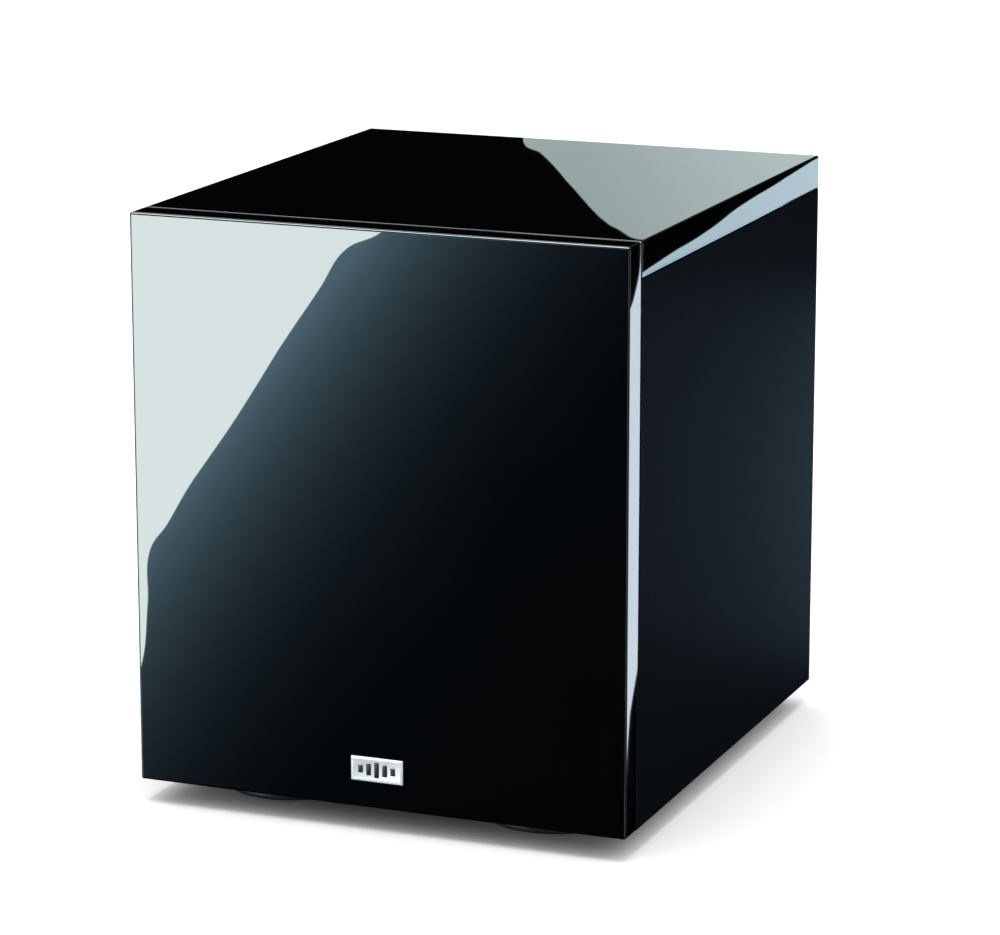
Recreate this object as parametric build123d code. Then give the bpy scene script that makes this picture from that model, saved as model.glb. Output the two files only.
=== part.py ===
from build123d import *
import math
import os

# Compact down-firing subwoofer: a lacquered front and top on a foil-wrapped body, four round
# feet, a 200 mm class driver in the base, a flared port and a plate amplifier at the rear.
# Millimetres. X points right seen from the front, the front faces -Y and +Z is up.
# The origin is on the floor under the centre of the overall box.

# ---- cabinet ----
cab_w = 350.0
cab_h = 390.0
cab_d = 395.0
front_t = 22.0
top_t = 24.0
side_t = 18.0
rear_t = 18.0
bottom_t = 25.0
lacquer_r = 1.6
foil_r = 0.9

# ---- joinery and inside of the cabinet ----
dowel_r = 4.0
dowel_len = 30.0
dowel_in_face = 12.0
dowel_relief = 1.0
dowels_per_joint = 3
dowel_margin = 50.0
brace_t = 18.0
brace_leg = 42.0
brace_arch_h = 118.0
brace_window_h = 130.0
brace_window_r = 24.0
brace_top_rail = 34.0
wool_t = 20.0
wool_margin = 26.0

# ---- badge ----
badge_w = 37.0
badge_h = 16.5
badge_t = 1.6
badge_bevel = 0.7
badge_above_edge = 27.0

# ---- feet ----
foot_r = 49.5
foot_top_r = 46.5
foot_h = 14.5
foot_edge_r = 3.0
foot_inset = 79.0
pad_r = 43.0
pad_hole_r = 14.0
pad_t = 3.5
pad_recess = 2.0
foot_screw_r = 2.5
foot_screw_head_r = 5.0
foot_screw_head_h = 3.2
foot_screw_grip = 5.0
foot_screw_len = 24.0

# ---- driver: heights are measured up from the face that the gasket seats on ----
rebate_depth = 13.0
rebate_gap = 1.0
frame_land = 17.0
frame_t = 3.5
seal_t = 1.5
basket_mouth_inset = 2.0
basket_wall = 3.0
basket_taper = 22.0
basket_h = 51.0
basket_top_t = 4.0
basket_bore_r = 30.0
baffle_gap = 2.0
window_count = 6
window_w = 42.0
window_z = (4.0, 31.0)
ledge_w = 8.0
ledge_z = 35.0
ledge_t = 2.5
driver_screw_count = 8
driver_screw_inset = 5.5
driver_screw_r = 2.2
driver_screw_head_r = 4.2
driver_screw_head_h = 2.6
driver_screw_bite = 10.0
cone_r = 70.0
cone_lip = 4.0
cone_depth = 31.0
cone_t = 1.2
surround_t = 1.0
surround_roll_w = 14.0
surround_roll_h = 5.5
surround_edge = 4.5
cap_r = 35.0
cap_rise = 8.0
cap_t = 1.2
former_r = 25.0
former_t = 0.4
coil_t = 1.6
coil_h = 22.0
coil_lead_in = 2.0
spider_t = 0.6
spider_rolls = 5
spider_roll_h = 1.6
spider_land = 4.0
gap_out = 0.8
gap_in = 0.6
plate_r = 58.0
plate_t = 8.0
magnet_r = 62.0
magnet_bore_r = 34.0
magnet_t = 22.0
yoke_t = 8.0
vent_r = 8.0
lead_r = 0.8
lead_gap = 1.2

# ---- reflex port: heights along the port are measured out from the rear face ----
port_r = 34.0
port_wall = 3.0
port_len = 165.0
port_rim = 4.0
port_flange_t = 3.0
port_flange_round = 1.5
port_flare = 12.0
port_land = 2.0
port_socket = 10.0
port_spigot_wall = 2.5
port_hole_gap = 0.5
port_bell = 10.0
port_top_margin = 4.0

# ---- amplifier plate and heat sink ----
amp_w = 216.0
amp_h = 226.0
amp_above_edge = 20.0
amp_t = 2.5
amp_seal_t = 1.5
amp_rebate_gap = 1.0
amp_ledge = 14.0
amp_screw_inset = 7.0
amp_screw_r = 2.0
amp_screw_head_r = 3.9
amp_screw_head_h = 2.2
amp_screw_len = 15.0
screw_hole_gap = 0.3
sink_w = 186.0
sink_h = 72.0
sink_base_t = 4.0
fin_h = 12.0
fin_t = 2.0
fin_count = 24
sink_below_edge = 14.0

# ---- controls: offsets from the centre of the plate's lower edge ----
control_row = 114.0
volume_x = 74.0
crossover_x = 30.0
phase_x = -14.0
mode_x = -52.0
led_x = -86.0
knob_r = 8.0
knob_skirt_r = 9.5
knob_h = 13.0
knob_lift = 0.8
knob_skirt_t = 2.4
knob_flutes = 18
knob_flute_r = 0.8
knob_mark_w = 1.0
shaft_r = 3.0
shaft_reach = 10.0
shaft_depth = 7.0
shaft_play = 0.05
pot_r = 8.5
pot_t = 9.0
bushing_r = 3.5
bushing_gap = 0.1
led_r = 1.5
led_gap = 0.05
phase_travel = 4.0
mode_travel = 6.0
tab_w = 4.0
tab_h = 4.0
tab_proud = 2.5
tab_foot_w = 8.0
tab_foot_h = 6.0
tab_foot_t = 1.5
slider_gap = 0.3
slider_wall = 2.0
slider_box_t = 7.0

# ---- sockets ----
socket_row = 62.0
rca_xs = (88.0, 66.0)
rca_r = 4.15
rca_wall = 0.85
rca_len = 11.0
rca_flange_r = 5.8
rca_flange_t = 1.8
rca_spigot_r = 3.9
rca_spigot_len = 8.0
rca_hole_gap = 0.2
rca_floor = 3.0
rca_recess = 0.5
rca_pin_r = 1.7

# ---- four-way push terminals ----
block_x = 8.0
block_w = 60.0
block_h = 32.0
block_out = 9.0
block_in = 14.0
block_flange = 4.0
block_flange_t = 1.8
block_hole_gap = 0.2
lever_count = 4
lever_pitch = 14.0
lever_w = 10.8
lever_gap = 0.3
lever_axis_z = 11.2
lever_axis_y = 6.2
lever_round = 1.9
lever_len = 13.8
lever_tab_out = 4.8
lever_tab_h = 3.1
lever_pocket = (-4.2, 13.6)
lever_pocket_in = 5.0
lever_pin_r = 0.9
lever_pin_len = 1.0
lever_pin_play = 0.05
wire_hole = 4.6
wire_hole_z = -10.0
wire_hole_in = 8.0

# ---- mains inlet with rocker and fuse drawer: offsets from the socket's centre ----
inlet_x = -74.0
inlet_row = 50.0
inlet_w = 31.0
inlet_z = (-31.0, 39.0)
inlet_depth = 26.0
inlet_flange = 2.5
inlet_flange_t = 2.5
inlet_hole_gap = 0.2
socket_w = 25.0
socket_h = 17.0
socket_corner = 4.5
socket_depth = 15.0
blade_w = 2.2
blade_h = 4.2
blade_reach = 12.5
blade_tail = 8.0
blade_places = ((-7.0, -2.0), (7.0, -2.0), (0.0, 2.8))
rocker_z = 27.0
rocker_w = 12.8
rocker_half = 8.8
rocker_gap = 0.3
rocker_pocket_half = 10.1
rocker_pocket_in = 12.0
rocker_axis_in = 3.0
rocker_rise = 3.2
rocker_dip = 1.6
rocker_belly = 7.0
rocker_tilt = 9.0
rocker_pin_r = 1.2
rocker_pin_len = 1.5
rocker_pin_play = 0.05
drawer_z = -24.0
drawer_w = 24.0
drawer_h = 9.4
drawer_gap = 0.3
drawer_in = 17.0
drawer_lip_t = 1.2
drawer_lip = 0.9
drawer_well = (19.0, 12.0)

# ---- electronics behind the plate ----
board_w = 84.0
board_h = 76.0
board_t = 1.6
board_lift = 10.0
board_x = -46.0
board_top_margin = 18.0
stud_r = 2.5
stud_inset = 5.0
toroid_r = 37.0
toroid_hole_r = 9.0
toroid_t = 36.0
toroid_x = 50.0
toroid_round = 8.0
toroid_stud_r = 4.0

# ---- places worked out from the sizes above ----
floor_gap = foot_h + pad_t - pad_recess
cab_bottom = floor_gap
cab_top = cab_bottom + cab_h
sink_out = sink_base_t + fin_h
y_front = (badge_t - cab_d - sink_out) / 2
y_rear = y_front + cab_d
y_inner_front = y_front + front_t
y_inner_rear = y_rear - rear_t
x_inner = cab_w / 2 - side_t
z_inner_bottom = cab_bottom + bottom_t
z_inner_top = cab_top - top_t
driver_y = y_front + cab_d / 2
seat_z = cab_bottom + rebate_depth
basket_mouth_r = cone_r + surround_roll_w - basket_mouth_inset
basket_top_r = basket_mouth_r - basket_taper
frame_r = basket_mouth_r + frame_land
ledge_r = basket_top_r - ledge_w
driver_screw_pcr = frame_r - driver_screw_inset
baffle_hole_r = basket_mouth_r + basket_wall + baffle_gap
frame_low = -seal_t - frame_t
surround_low = frame_low - surround_t
cone_neck = frame_low + cone_depth
magnet_base = basket_h + basket_top_t
plate_top = magnet_base + plate_t
magnet_top = plate_top + magnet_t
pole_r = former_r - former_t - gap_in
coil_mid = magnet_base + plate_t / 2
port_flange_r = port_r + port_flare + port_rim
port_z = z_inner_top - port_top_margin - port_flange_r
port_spigot_r = port_r + port_wall + port_spigot_wall
port_neck = port_flange_t - port_flare
port_seat = port_neck - port_land
amp_z0 = cab_bottom + amp_above_edge
amp_z1 = amp_z0 + amp_h
control_z = amp_z0 + control_row
socket_z = amp_z0 + socket_row
inlet_mid_z = amp_z0 + inlet_row
cut_x = amp_w / 2 - amp_ledge
toroid_z = amp_z1 - amp_ledge - toroid_r - 4.0


def span_box(x, y, z):
    """A box between two values on each axis."""
    size = (x[1] - x[0], y[1] - y[0], z[1] - z[0])
    middle = ((x[0] + x[1]) / 2, (y[0] + y[1]) / 2, (z[0] + z[1]) / 2)
    return Pos(*middle) * Box(*size)


def turned(*outline):
    """A solid of revolution about Z from points of radius and height."""
    loop = Polyline(*[(r, 0, z) for r, z in outline], close=True)
    return revolve(make_face(loop), Axis.Z)


def ring(r_out, r_in, z):
    """A tube about Z between two heights."""
    return turned((r_in, z[0]), (r_out, z[0]), (r_out, z[1]), (r_in, z[1]))


def rod(r, z):
    """A round bar about Z between two heights."""
    return Pos(0, 0, z[0]) * Cylinder(r, z[1] - z[0], align=(Align.CENTER, Align.CENTER, Align.MIN))


def rim_edges(solid):
    """The round edges with the largest radius."""
    return solid.edges().filter_by(GeomType.CIRCLE).group_by(SortBy.RADIUS)[-1]


def at_rear(x, z):
    """The place on the rear face at x and z, where local Z points out of the cabinet."""
    return Pos(x, y_rear, z) * Rot(-90, 0, 0)


def rear_box(x, z, half_w, heights, out):
    """A box about x on the rear face: heights are above z, out is measured from the rear face."""
    return span_box(
        (x - half_w, x + half_w),
        (y_rear + out[0], y_rear + out[1]),
        (z + heights[0], z + heights[1]),
    )


def spread(low, high, count):
    """Evenly spaced values, the first and last of them on the ends."""
    return [low + (high - low) * i / (count - 1) for i in range(count)]


# ---- cabinet ----
def dowel_places():
    """Where the dowels stand: the joint face's centre line and the way into the panel's face."""
    x_side = x_inner + side_t / 2
    places = []
    for side in (-1, 1):
        for z in spread(cab_bottom + dowel_margin, z_inner_top - dowel_margin, dowels_per_joint):
            places.append(Pos(side * x_side, y_inner_front, z) * Rot(90, 0, 0))
        for y in spread(y_inner_front + dowel_margin, y_rear - dowel_margin, dowels_per_joint):
            places.append(Pos(side * x_side, y, z_inner_top))
    return places


def panel_dowels():
    deep = dowel_len - dowel_in_face
    pin = chamfer(rod(dowel_r, (-deep, dowel_in_face)).edges().filter_by(GeomType.CIRCLE), 0.8)
    return Compound(children=[place * pin for place in dowel_places()])


def dowel_holes():
    deep = dowel_len - dowel_in_face
    hole = rod(dowel_r, (-deep - dowel_relief, dowel_in_face + dowel_relief))
    return [place * hole for place in dowel_places()]


def front_panel():
    panel = span_box((-cab_w / 2, cab_w / 2), (y_front, y_inner_front), (cab_bottom, cab_top))
    return fillet(panel.edges(), lacquer_r) - dowel_holes()


def top_panel():
    panel = span_box((-cab_w / 2, cab_w / 2), (y_inner_front, y_rear), (z_inner_top, cab_top))
    return fillet(panel.edges(), lacquer_r) - dowel_holes()


def side_panel(side):
    x = sorted((side * cab_w / 2, side * x_inner))
    panel = span_box(x, (y_inner_front, y_rear), (cab_bottom, z_inner_top))
    outer = panel.faces().sort_by(Axis.X)[-1 if side > 0 else 0]
    return fillet(outer.edges(), foil_r) - dowel_holes()


def foot_places():
    xs = (-cab_w / 2 + foot_inset, cab_w / 2 - foot_inset)
    ys = {"front": y_front + foot_inset, "rear": y_rear - foot_inset}
    places = {}
    for end, y in ys.items():
        places[f"{end}_left"] = (xs[0], y)
        places[f"{end}_right"] = (xs[1], y)
    return places


def bottom_panel():
    panel = span_box(
        (-x_inner, x_inner), (y_inner_front, y_inner_rear), (cab_bottom, z_inner_bottom)
    )
    driver = driver_place()
    panel -= driver * rod(frame_r + rebate_gap, (-rebate_depth, 0))
    panel -= driver * rod(baffle_hole_r, (0, bottom_t))
    for place in driver_screw_places():
        panel -= driver * place * rod(driver_screw_r, (0, driver_screw_bite))
    for x, y in foot_places().values():
        panel -= Pos(x, y, cab_bottom) * rod(foot_screw_r, (0, foot_screw_len - foot_screw_grip))
    return panel


def amp_screw_places():
    x = amp_w / 2 - amp_screw_inset
    zs = spread(amp_z0 + amp_screw_inset, amp_z1 - amp_screw_inset, 4)
    spots = [(side * x, z) for side in (-1, 1) for z in zs]
    return spots + [(0, zs[0]), (0, zs[-1])]


def rear_panel():
    panel = span_box((-x_inner, x_inner), (y_inner_rear, y_rear), (cab_bottom, z_inner_top))
    rebate = amp_t + amp_seal_t
    gap = amp_rebate_gap
    panel -= rear_box(0, amp_z0, amp_w / 2 + gap, (-gap, amp_h + gap), (-rebate, 0))
    panel -= rear_box(0, amp_z0, cut_x, (amp_ledge, amp_h - amp_ledge), (-rear_t, 0))
    panel -= at_rear(0, port_z) * rod(port_spigot_r + port_hole_gap, (-rear_t, 0))
    for x, z in amp_screw_places():
        panel -= at_rear(x, z) * rod(amp_screw_r, (-amp_screw_len, 0))
    return panel


def window_brace():
    """A frame across the middle: an arch over the driver and a window above it."""
    y = (driver_y - brace_t / 2, driver_y + brace_t / 2)
    open_x = x_inner - brace_leg
    frame = span_box((-x_inner, x_inner), y, (z_inner_bottom, z_inner_top))
    arch_top = z_inner_bottom + brace_arch_h
    arch = span_box((-open_x, open_x), y, (z_inner_bottom, arch_top))
    window_top = z_inner_top - brace_top_rail
    window = span_box((-open_x, open_x), y, (window_top - brace_window_h, window_top))
    arch = fillet(arch.edges().filter_by(Axis.Y).group_by(Axis.Z)[-1], brace_window_r)
    window = fillet(window.edges().filter_by(Axis.Y), brace_window_r)
    return frame - arch - window


def damping_wool():
    """Three cut sheets: one behind the front panel and one on each side wall."""
    z = (z_inner_bottom + wool_margin, z_inner_top - wool_margin)
    front = span_box(
        (-x_inner + wool_margin, x_inner - wool_margin),
        (y_inner_front, y_inner_front + wool_t),
        z,
    )
    y = (driver_y + brace_t / 2 + wool_margin, y_inner_rear - wool_margin)
    left = span_box((-x_inner, -x_inner + wool_t), y, z)
    right = span_box((x_inner - wool_t, x_inner), y, z)
    sheets = [fillet(sheet.edges(), 4.0) for sheet in (front, left, right)]
    return Compound(children=sheets)


def badge_plate():
    z = cab_bottom + badge_above_edge
    plate = span_box(
        (-badge_w / 2, badge_w / 2),
        (y_front - badge_t, y_front),
        (z - badge_h / 2, z + badge_h / 2),
    )
    return chamfer(plate.faces().sort_by(Axis.Y)[0].edges(), badge_bevel)


# ---- feet ----
def foot():
    """A round foot that narrows towards the cabinet, with a rounded rim and a recess below."""
    low = pad_t - pad_recess
    body = turned((0, low), (foot_r, low), (foot_r, low + foot_h / 2), (foot_top_r, cab_bottom), (0, cab_bottom))
    body = fillet(body.edges().group_by(Axis.Z)[0], foot_edge_r)
    body -= rod(pad_r, (low, low + pad_recess))
    body -= rod(foot_screw_head_r + 1, (low, cab_bottom - foot_screw_grip))
    return body - rod(foot_screw_r + screw_hole_gap, (0, cab_bottom))


def pad():
    disc = ring(pad_r, pad_hole_r, (0, pad_t))
    return fillet(rim_edges(disc).sort_by(Axis.Z)[0], 0.8)


def screw(shank_r, length, head_r, head_h):
    """A pan-head screw: the head sits below z = 0 and the shank points up."""
    head = fillet(rod(head_r, (-head_h, 0)).edges().group_by(Axis.Z)[0], head_h * 0.6)
    slot = Box(head_r * 1.1, head_r * 0.25, head_h * 0.9)
    head -= [Pos(0, 0, -head_h) * Rot(0, 0, turn) * slot for turn in (0, 90)]
    return head + rod(shank_r, (0, length))


def foot_screws():
    one = screw(foot_screw_r, foot_screw_len, foot_screw_head_r, foot_screw_head_h)
    z = cab_bottom - foot_screw_grip
    return Compound(children=[Pos(x, y, z) * one for x, y in foot_places().values()])


# ---- driver: modelled about Z with its seat at z = 0, firing down ----
def driver_place():
    return Pos(0, driver_y, seat_z)


def driver_screw_places():
    step = 360 / driver_screw_count
    return [
        Rot(0, 0, step * (i + 0.5)) * Pos(driver_screw_pcr, 0, 0) for i in range(driver_screw_count)
    ]


def driver_gasket():
    gasket = ring(frame_r, baffle_hole_r, (-seal_t, 0))
    holes = rod(driver_screw_r + screw_hole_gap, (-seal_t, 0))
    return gasket - [place * holes for place in driver_screw_places()]


def driver_basket():
    mouth = basket_mouth_r + basket_wall
    shell = turned(
        (basket_mouth_r, frame_low),
        (frame_r, frame_low),
        (frame_r, -seal_t),
        (mouth, -seal_t),
        (basket_top_r + basket_wall, basket_h),
        (basket_top_r + basket_wall, magnet_base),
        (basket_bore_r, magnet_base),
        (basket_bore_r, basket_h),
        (basket_top_r, basket_h),
    )
    slope = (basket_mouth_r - basket_top_r) / (basket_h - frame_low)
    wall_r = basket_mouth_r - (ledge_z - frame_low) * slope
    shell += ring(wall_r + basket_wall / 2, ledge_r, (ledge_z, ledge_z + ledge_t))
    window = span_box((0, frame_r), (-window_w / 2, window_w / 2), window_z)
    window = fillet(window.edges().filter_by(Axis.X), 5.0)
    shell -= [Rot(0, 0, 360 * i / window_count) * window for i in range(window_count)]
    hole = rod(driver_screw_r + screw_hole_gap, (frame_low, -seal_t))
    return shell - [place * hole for place in driver_screw_places()]


def driver_screws():
    grip = seal_t + frame_t
    one = screw(driver_screw_r, grip + driver_screw_bite, driver_screw_head_r, driver_screw_head_h)
    return Compound(
        children=[driver_place() * place * Pos(0, 0, -grip) * one for place in driver_screw_places()]
    )


def driver_surround():
    """A rubber half roll between the cone's lip and the frame, bulging down."""
    r0 = cone_r - cone_lip
    r1 = cone_r
    r2 = cone_r + surround_roll_w
    r3 = r2 + surround_edge
    mid = (r1 + r2) / 2
    high = frame_low
    low = surround_low
    sag = surround_roll_h
    edges = [
        Line((r0, 0, high), (r1, 0, high)),
        ThreePointArc((r1, 0, high), (mid, 0, high - sag), (r2, 0, high)),
        Line((r2, 0, high), (r3, 0, high)),
        Line((r3, 0, high), (r3, 0, low)),
        Line((r3, 0, low), (r2, 0, low)),
        ThreePointArc((r2, 0, low), (mid, 0, low - sag), (r1, 0, low)),
        Line((r1, 0, low), (r0, 0, low)),
        Line((r0, 0, low), (r0, 0, high)),
    ]
    return revolve(make_face(edges), Axis.Z)


def driver_spider():
    """A corrugated disc from the coil former to the basket's ledge."""
    low = ledge_z + ledge_t
    high = low + spider_t
    end = ledge_r + spider_land
    stops = spread(former_r, ledge_r, spider_rolls + 1)
    edges = []
    for i in range(spider_rolls):
        way = -spider_roll_h if i % 2 else spider_roll_h
        a, b = stops[i], stops[i + 1]
        for z in (low, high):
            edges.append(ThreePointArc((a, 0, z), ((a + b) / 2, 0, z + way), (b, 0, z)))
    edges.append(Line((former_r, 0, low), (former_r, 0, high)))
    edges.append(Line((ledge_r, 0, low), (end, 0, low)))
    edges.append(Line((end, 0, low), (end, 0, high)))
    edges.append(Line((end, 0, high), (ledge_r, 0, high)))
    return revolve(make_face(edges), Axis.Z)


def cone_height(r):
    """The height of the cone's lower face at a radius."""
    r_lip = cone_r - cone_lip
    return frame_low + (r_lip - r) / (r_lip - former_r) * cone_depth


def driver_cone():
    r_lip = cone_r - cone_lip
    return turned(
        (cone_r, frame_low),
        (cone_r, frame_low + cone_t),
        (r_lip, frame_low + cone_t),
        (former_r, cone_neck + cone_t),
        (former_r, cone_neck),
        (r_lip, frame_low),
    )


def dome_height(r, rim_r, rim_z, rise):
    """The height of a spherical dome that bulges down by rise from its rim."""
    ball = (rim_r**2 + rise**2) / (2 * rise)
    return rim_z - rise + ball - math.sqrt(ball**2 - r**2)


def dust_cap():
    """A shallow dome over the middle of the cone, bulging down."""
    r_in = cap_r - cap_t
    rim = cone_height(cap_r)
    rim_in = cone_height(r_in)
    rise_in = rim_in - rim + cap_rise - cap_t
    low = dome_height(cap_r / 2, cap_r, rim, cap_rise)
    high = dome_height(r_in / 2, r_in, rim_in, rise_in)
    edges = [
        Line((cap_r, 0, rim), (r_in, 0, rim_in)),
        ThreePointArc((r_in, 0, rim_in), (r_in / 2, 0, high), (0, 0, rim_in - rise_in)),
        Line((0, 0, rim_in - rise_in), (0, 0, rim - cap_rise)),
        ThreePointArc((0, 0, rim - cap_rise), (cap_r / 2, 0, low), (cap_r, 0, rim)),
    ]
    return revolve(make_face(edges), Axis.Z)


def coil_former():
    top = coil_mid + coil_h / 2 + coil_lead_in
    return ring(former_r, former_r - former_t, (cone_neck, top))


def voice_coil():
    return ring(former_r + coil_t, former_r, (coil_mid - coil_h / 2, coil_mid + coil_h / 2))


def tinsel_leads():
    """Two braided leads, each an arch from the back of the cone to the basket's wall."""
    slope = (basket_mouth_r - basket_top_r) / (basket_h - frame_low)
    z = frame_low + cone_depth * 0.55
    r_cone = former_r + (cone_neck - z) / cone_depth * (cone_r - cone_lip - former_r)
    z_end = z + cone_t + lead_r + lead_gap
    r_wall = basket_mouth_r - (z_end - frame_low) * slope
    half = (r_wall - r_cone) / 2 - lead_r - lead_gap
    middle = (r_wall + r_cone) / 2
    circle = Plane((middle - half, 0, z_end)) * Circle(lead_r)
    lead = revolve(circle, Axis((middle, 0, z_end), (0, 1, 0)), 180)
    return Compound(children=[driver_place() * Rot(0, 0, turn) * lead for turn in (30, 210)])


def top_plate():
    return ring(plate_r, former_r + coil_t + gap_out, (magnet_base, plate_top))


def magnet_ring():
    magnet = ring(magnet_r, magnet_bore_r, (plate_top, magnet_top))
    return chamfer(rim_edges(magnet), 1.5)


def pole_yoke():
    yoke = turned(
        (vent_r, magnet_base),
        (pole_r, magnet_base),
        (pole_r, magnet_top),
        (plate_r, magnet_top),
        (plate_r, magnet_top + yoke_t),
        (vent_r, magnet_top + yoke_t),
    )
    return chamfer(yoke.edges().group_by(Axis.Z)[-1], 1.5)


# ---- reflex port ----
def port_flare_ring():
    """The outer trim: a flange on the rear face that flares into the tube's socket."""
    tube_r = port_r + port_wall
    end = port_seat - port_socket
    face = port_flange_t
    lip = port_flange_r - port_flange_round
    mouth = port_r + port_flare
    quarter = port_flare * (1 - math.sqrt(0.5))
    edges = [
        Line((port_spigot_r, 0, 0), (port_flange_r, 0, 0)),
        Line((port_flange_r, 0, 0), (port_flange_r, 0, face - port_flange_round)),
        Line((port_flange_r, 0, face - port_flange_round), (lip, 0, face)),
        Line((lip, 0, face), (mouth, 0, face)),
        ThreePointArc((mouth, 0, face), (port_r + quarter, 0, face - quarter), (port_r, 0, port_neck)),
        Line((port_r, 0, port_neck), (port_r, 0, port_seat)),
        Line((port_r, 0, port_seat), (tube_r, 0, port_seat)),
        Line((tube_r, 0, port_seat), (tube_r, 0, end)),
        Line((tube_r, 0, end), (port_spigot_r, 0, end)),
        Line((port_spigot_r, 0, end), (port_spigot_r, 0, 0)),
    ]
    return at_rear(0, port_z) * revolve(make_face(edges), Axis.Z)


def port_tube():
    """The tube behind the trim, belled at its inner end."""
    tube_r = port_r + port_wall
    bell = -port_len + port_bell
    quarter = port_bell * (1 - math.sqrt(0.5))
    end = -port_len - port_wall
    edges = [
        Line((port_r, 0, port_seat), (tube_r, 0, port_seat)),
        Line((tube_r, 0, port_seat), (tube_r, 0, bell)),
        ThreePointArc(
            (tube_r, 0, bell), (tube_r + quarter, 0, quarter - port_len), (tube_r + port_bell, 0, -port_len)
        ),
        Line((tube_r + port_bell, 0, -port_len), (tube_r + port_bell, 0, end)),
        Line((tube_r + port_bell, 0, end), (port_r + port_bell, 0, end)),
        ThreePointArc(
            (port_r + port_bell, 0, end), (port_r + quarter, 0, end + quarter), (port_r, 0, end + port_bell)
        ),
        Line((port_r, 0, end + port_bell), (port_r, 0, port_seat)),
    ]
    return at_rear(0, port_z) * revolve(make_face(edges), Axis.Z)


# ---- amplifier plate ----
def board_studs():
    """Where the board's four studs stand on the plate, as x and z."""
    z_top = amp_z1 - board_top_margin
    xs = (board_x - board_w / 2 + stud_inset, board_x + board_w / 2 - stud_inset)
    zs = (z_top - board_h + stud_inset, z_top - stud_inset)
    return [(x, z) for x in xs for z in zs]


def amp_plate():
    plate = rear_box(0, amp_z0, amp_w / 2, (0, amp_h), (-amp_t, 0))
    plate = fillet(plate.edges().filter_by(Axis.Y), 3.0)
    for x in (volume_x, crossover_x):
        plate -= at_rear(x, control_z) * rod(bushing_r + bushing_gap, (-amp_t, 0))
    for x, travel in ((phase_x, phase_travel), (mode_x, mode_travel)):
        plate -= slider_slot(x, travel)
    plate -= at_rear(led_x, control_z) * rod(led_r + led_gap, (-amp_t, 0))
    for x in rca_xs:
        plate -= at_rear(x, socket_z) * rod(rca_spigot_r + rca_hole_gap, (-amp_t, 0))
    half = block_w / 2 + block_hole_gap
    tall = block_h / 2 + block_hole_gap
    plate -= rear_box(block_x, socket_z, half, (-tall, tall), (-amp_t, 0))
    low = inlet_z[0] - inlet_hole_gap
    high = inlet_z[1] + inlet_hole_gap
    plate -= rear_box(inlet_x, inlet_mid_z, inlet_w / 2 + inlet_hole_gap, (low, high), (-amp_t, 0))
    for x, z in amp_screw_places():
        plate -= at_rear(x, z) * rod(amp_screw_r + screw_hole_gap, (-amp_t, 0))
    for x, z in board_studs():
        plate += at_rear(x, z) * rod(stud_r, (-amp_t - board_lift, -amp_t))
    return plate + at_rear(toroid_x, toroid_z) * rod(toroid_stud_r, (-amp_t - toroid_t, -amp_t))


def amp_gasket():
    y = (-amp_t - amp_seal_t, -amp_t)
    seal = rear_box(0, amp_z0, amp_w / 2, (0, amp_h), y)
    seal -= rear_box(0, amp_z0, cut_x, (amp_ledge, amp_h - amp_ledge), y)
    for x, z in amp_screw_places():
        seal -= at_rear(x, z) * rod(amp_screw_r + screw_hole_gap, y)
    return seal


def amp_screws():
    one = Rot(180, 0, 0) * screw(amp_screw_r, amp_screw_len, amp_screw_head_r, amp_screw_head_h)
    return Compound(children=[at_rear(x, z) * one for x, z in amp_screw_places()])


def heat_sink():
    """An extrusion with upright fins on a flat base."""
    low = amp_h - sink_below_edge - sink_h
    high = amp_h - sink_below_edge
    sink = rear_box(0, amp_z0, sink_w / 2, (low, high), (0, sink_base_t))
    for x in spread(-sink_w / 2 + fin_t / 2, sink_w / 2 - fin_t / 2, fin_count):
        sink += rear_box(x, amp_z0, fin_t / 2, (low, high), (sink_base_t, sink_out))
    return sink


def main_board():
    """The populated board: a laminate with its output inductor, heat spreader and reservoirs."""
    z_top = amp_z1 - board_top_margin - amp_z0
    back = -amp_t - board_lift
    board = rear_box(board_x, amp_z0, board_w / 2, (z_top - board_h, z_top), (back - board_t, back))
    for x, z in ((-28, 22), (-28, 48), (-6, 60)):
        place = at_rear(board_x + x, amp_z0 + z_top - z)
        board += place * rod(9.0, (back - board_t - 30, back - board_t))
    place = at_rear(board_x + 20, amp_z0 + z_top - 50)
    board += place * ring(13.0, 6.0, (back - board_t - 12, back - board_t))
    board += rear_box(board_x + 18, amp_z0 + z_top - 24, 18.0, (-3, 3), (back - board_t - 24, back - board_t))
    return board


def transformer():
    """A toroid with a potted centre, clamped on the plate's stud."""
    core = ring(toroid_r, toroid_hole_r, (-amp_t - toroid_t, -amp_t))
    core = fillet(rim_edges(core), toroid_round)
    centre = ring(toroid_hole_r, toroid_stud_r, (-amp_t - toroid_t + 3, -amp_t))
    return at_rear(toroid_x, toroid_z) * (core + centre)


# ---- controls ----
def knob(x):
    """A fluted knob with a skirt and a pointer groove."""
    top = knob_h
    body = rod(knob_skirt_r, (knob_lift, knob_lift + knob_skirt_t)) + rod(knob_r, (knob_lift, top))
    body = fillet(body.edges().group_by(Axis.Z)[-1], 0.8)
    flute = Pos(knob_r + knob_flute_r * 0.4, 0, knob_lift + knob_skirt_t) * rod(knob_flute_r, (0, knob_h))
    body -= [Rot(0, 0, 360 * (i + 0.5) / knob_flutes) * flute for i in range(knob_flutes)]
    mark = span_box((-knob_mark_w / 2, knob_mark_w / 2), (-knob_r - 1, -knob_r * 0.35), (top - 0.5, top))
    body -= mark
    return at_rear(x, control_z) * (body - rod(shaft_r, (knob_lift, shaft_reach)))


def shaft(x):
    return at_rear(x, control_z) * rod(shaft_r, (-shaft_depth, shaft_reach))


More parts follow.
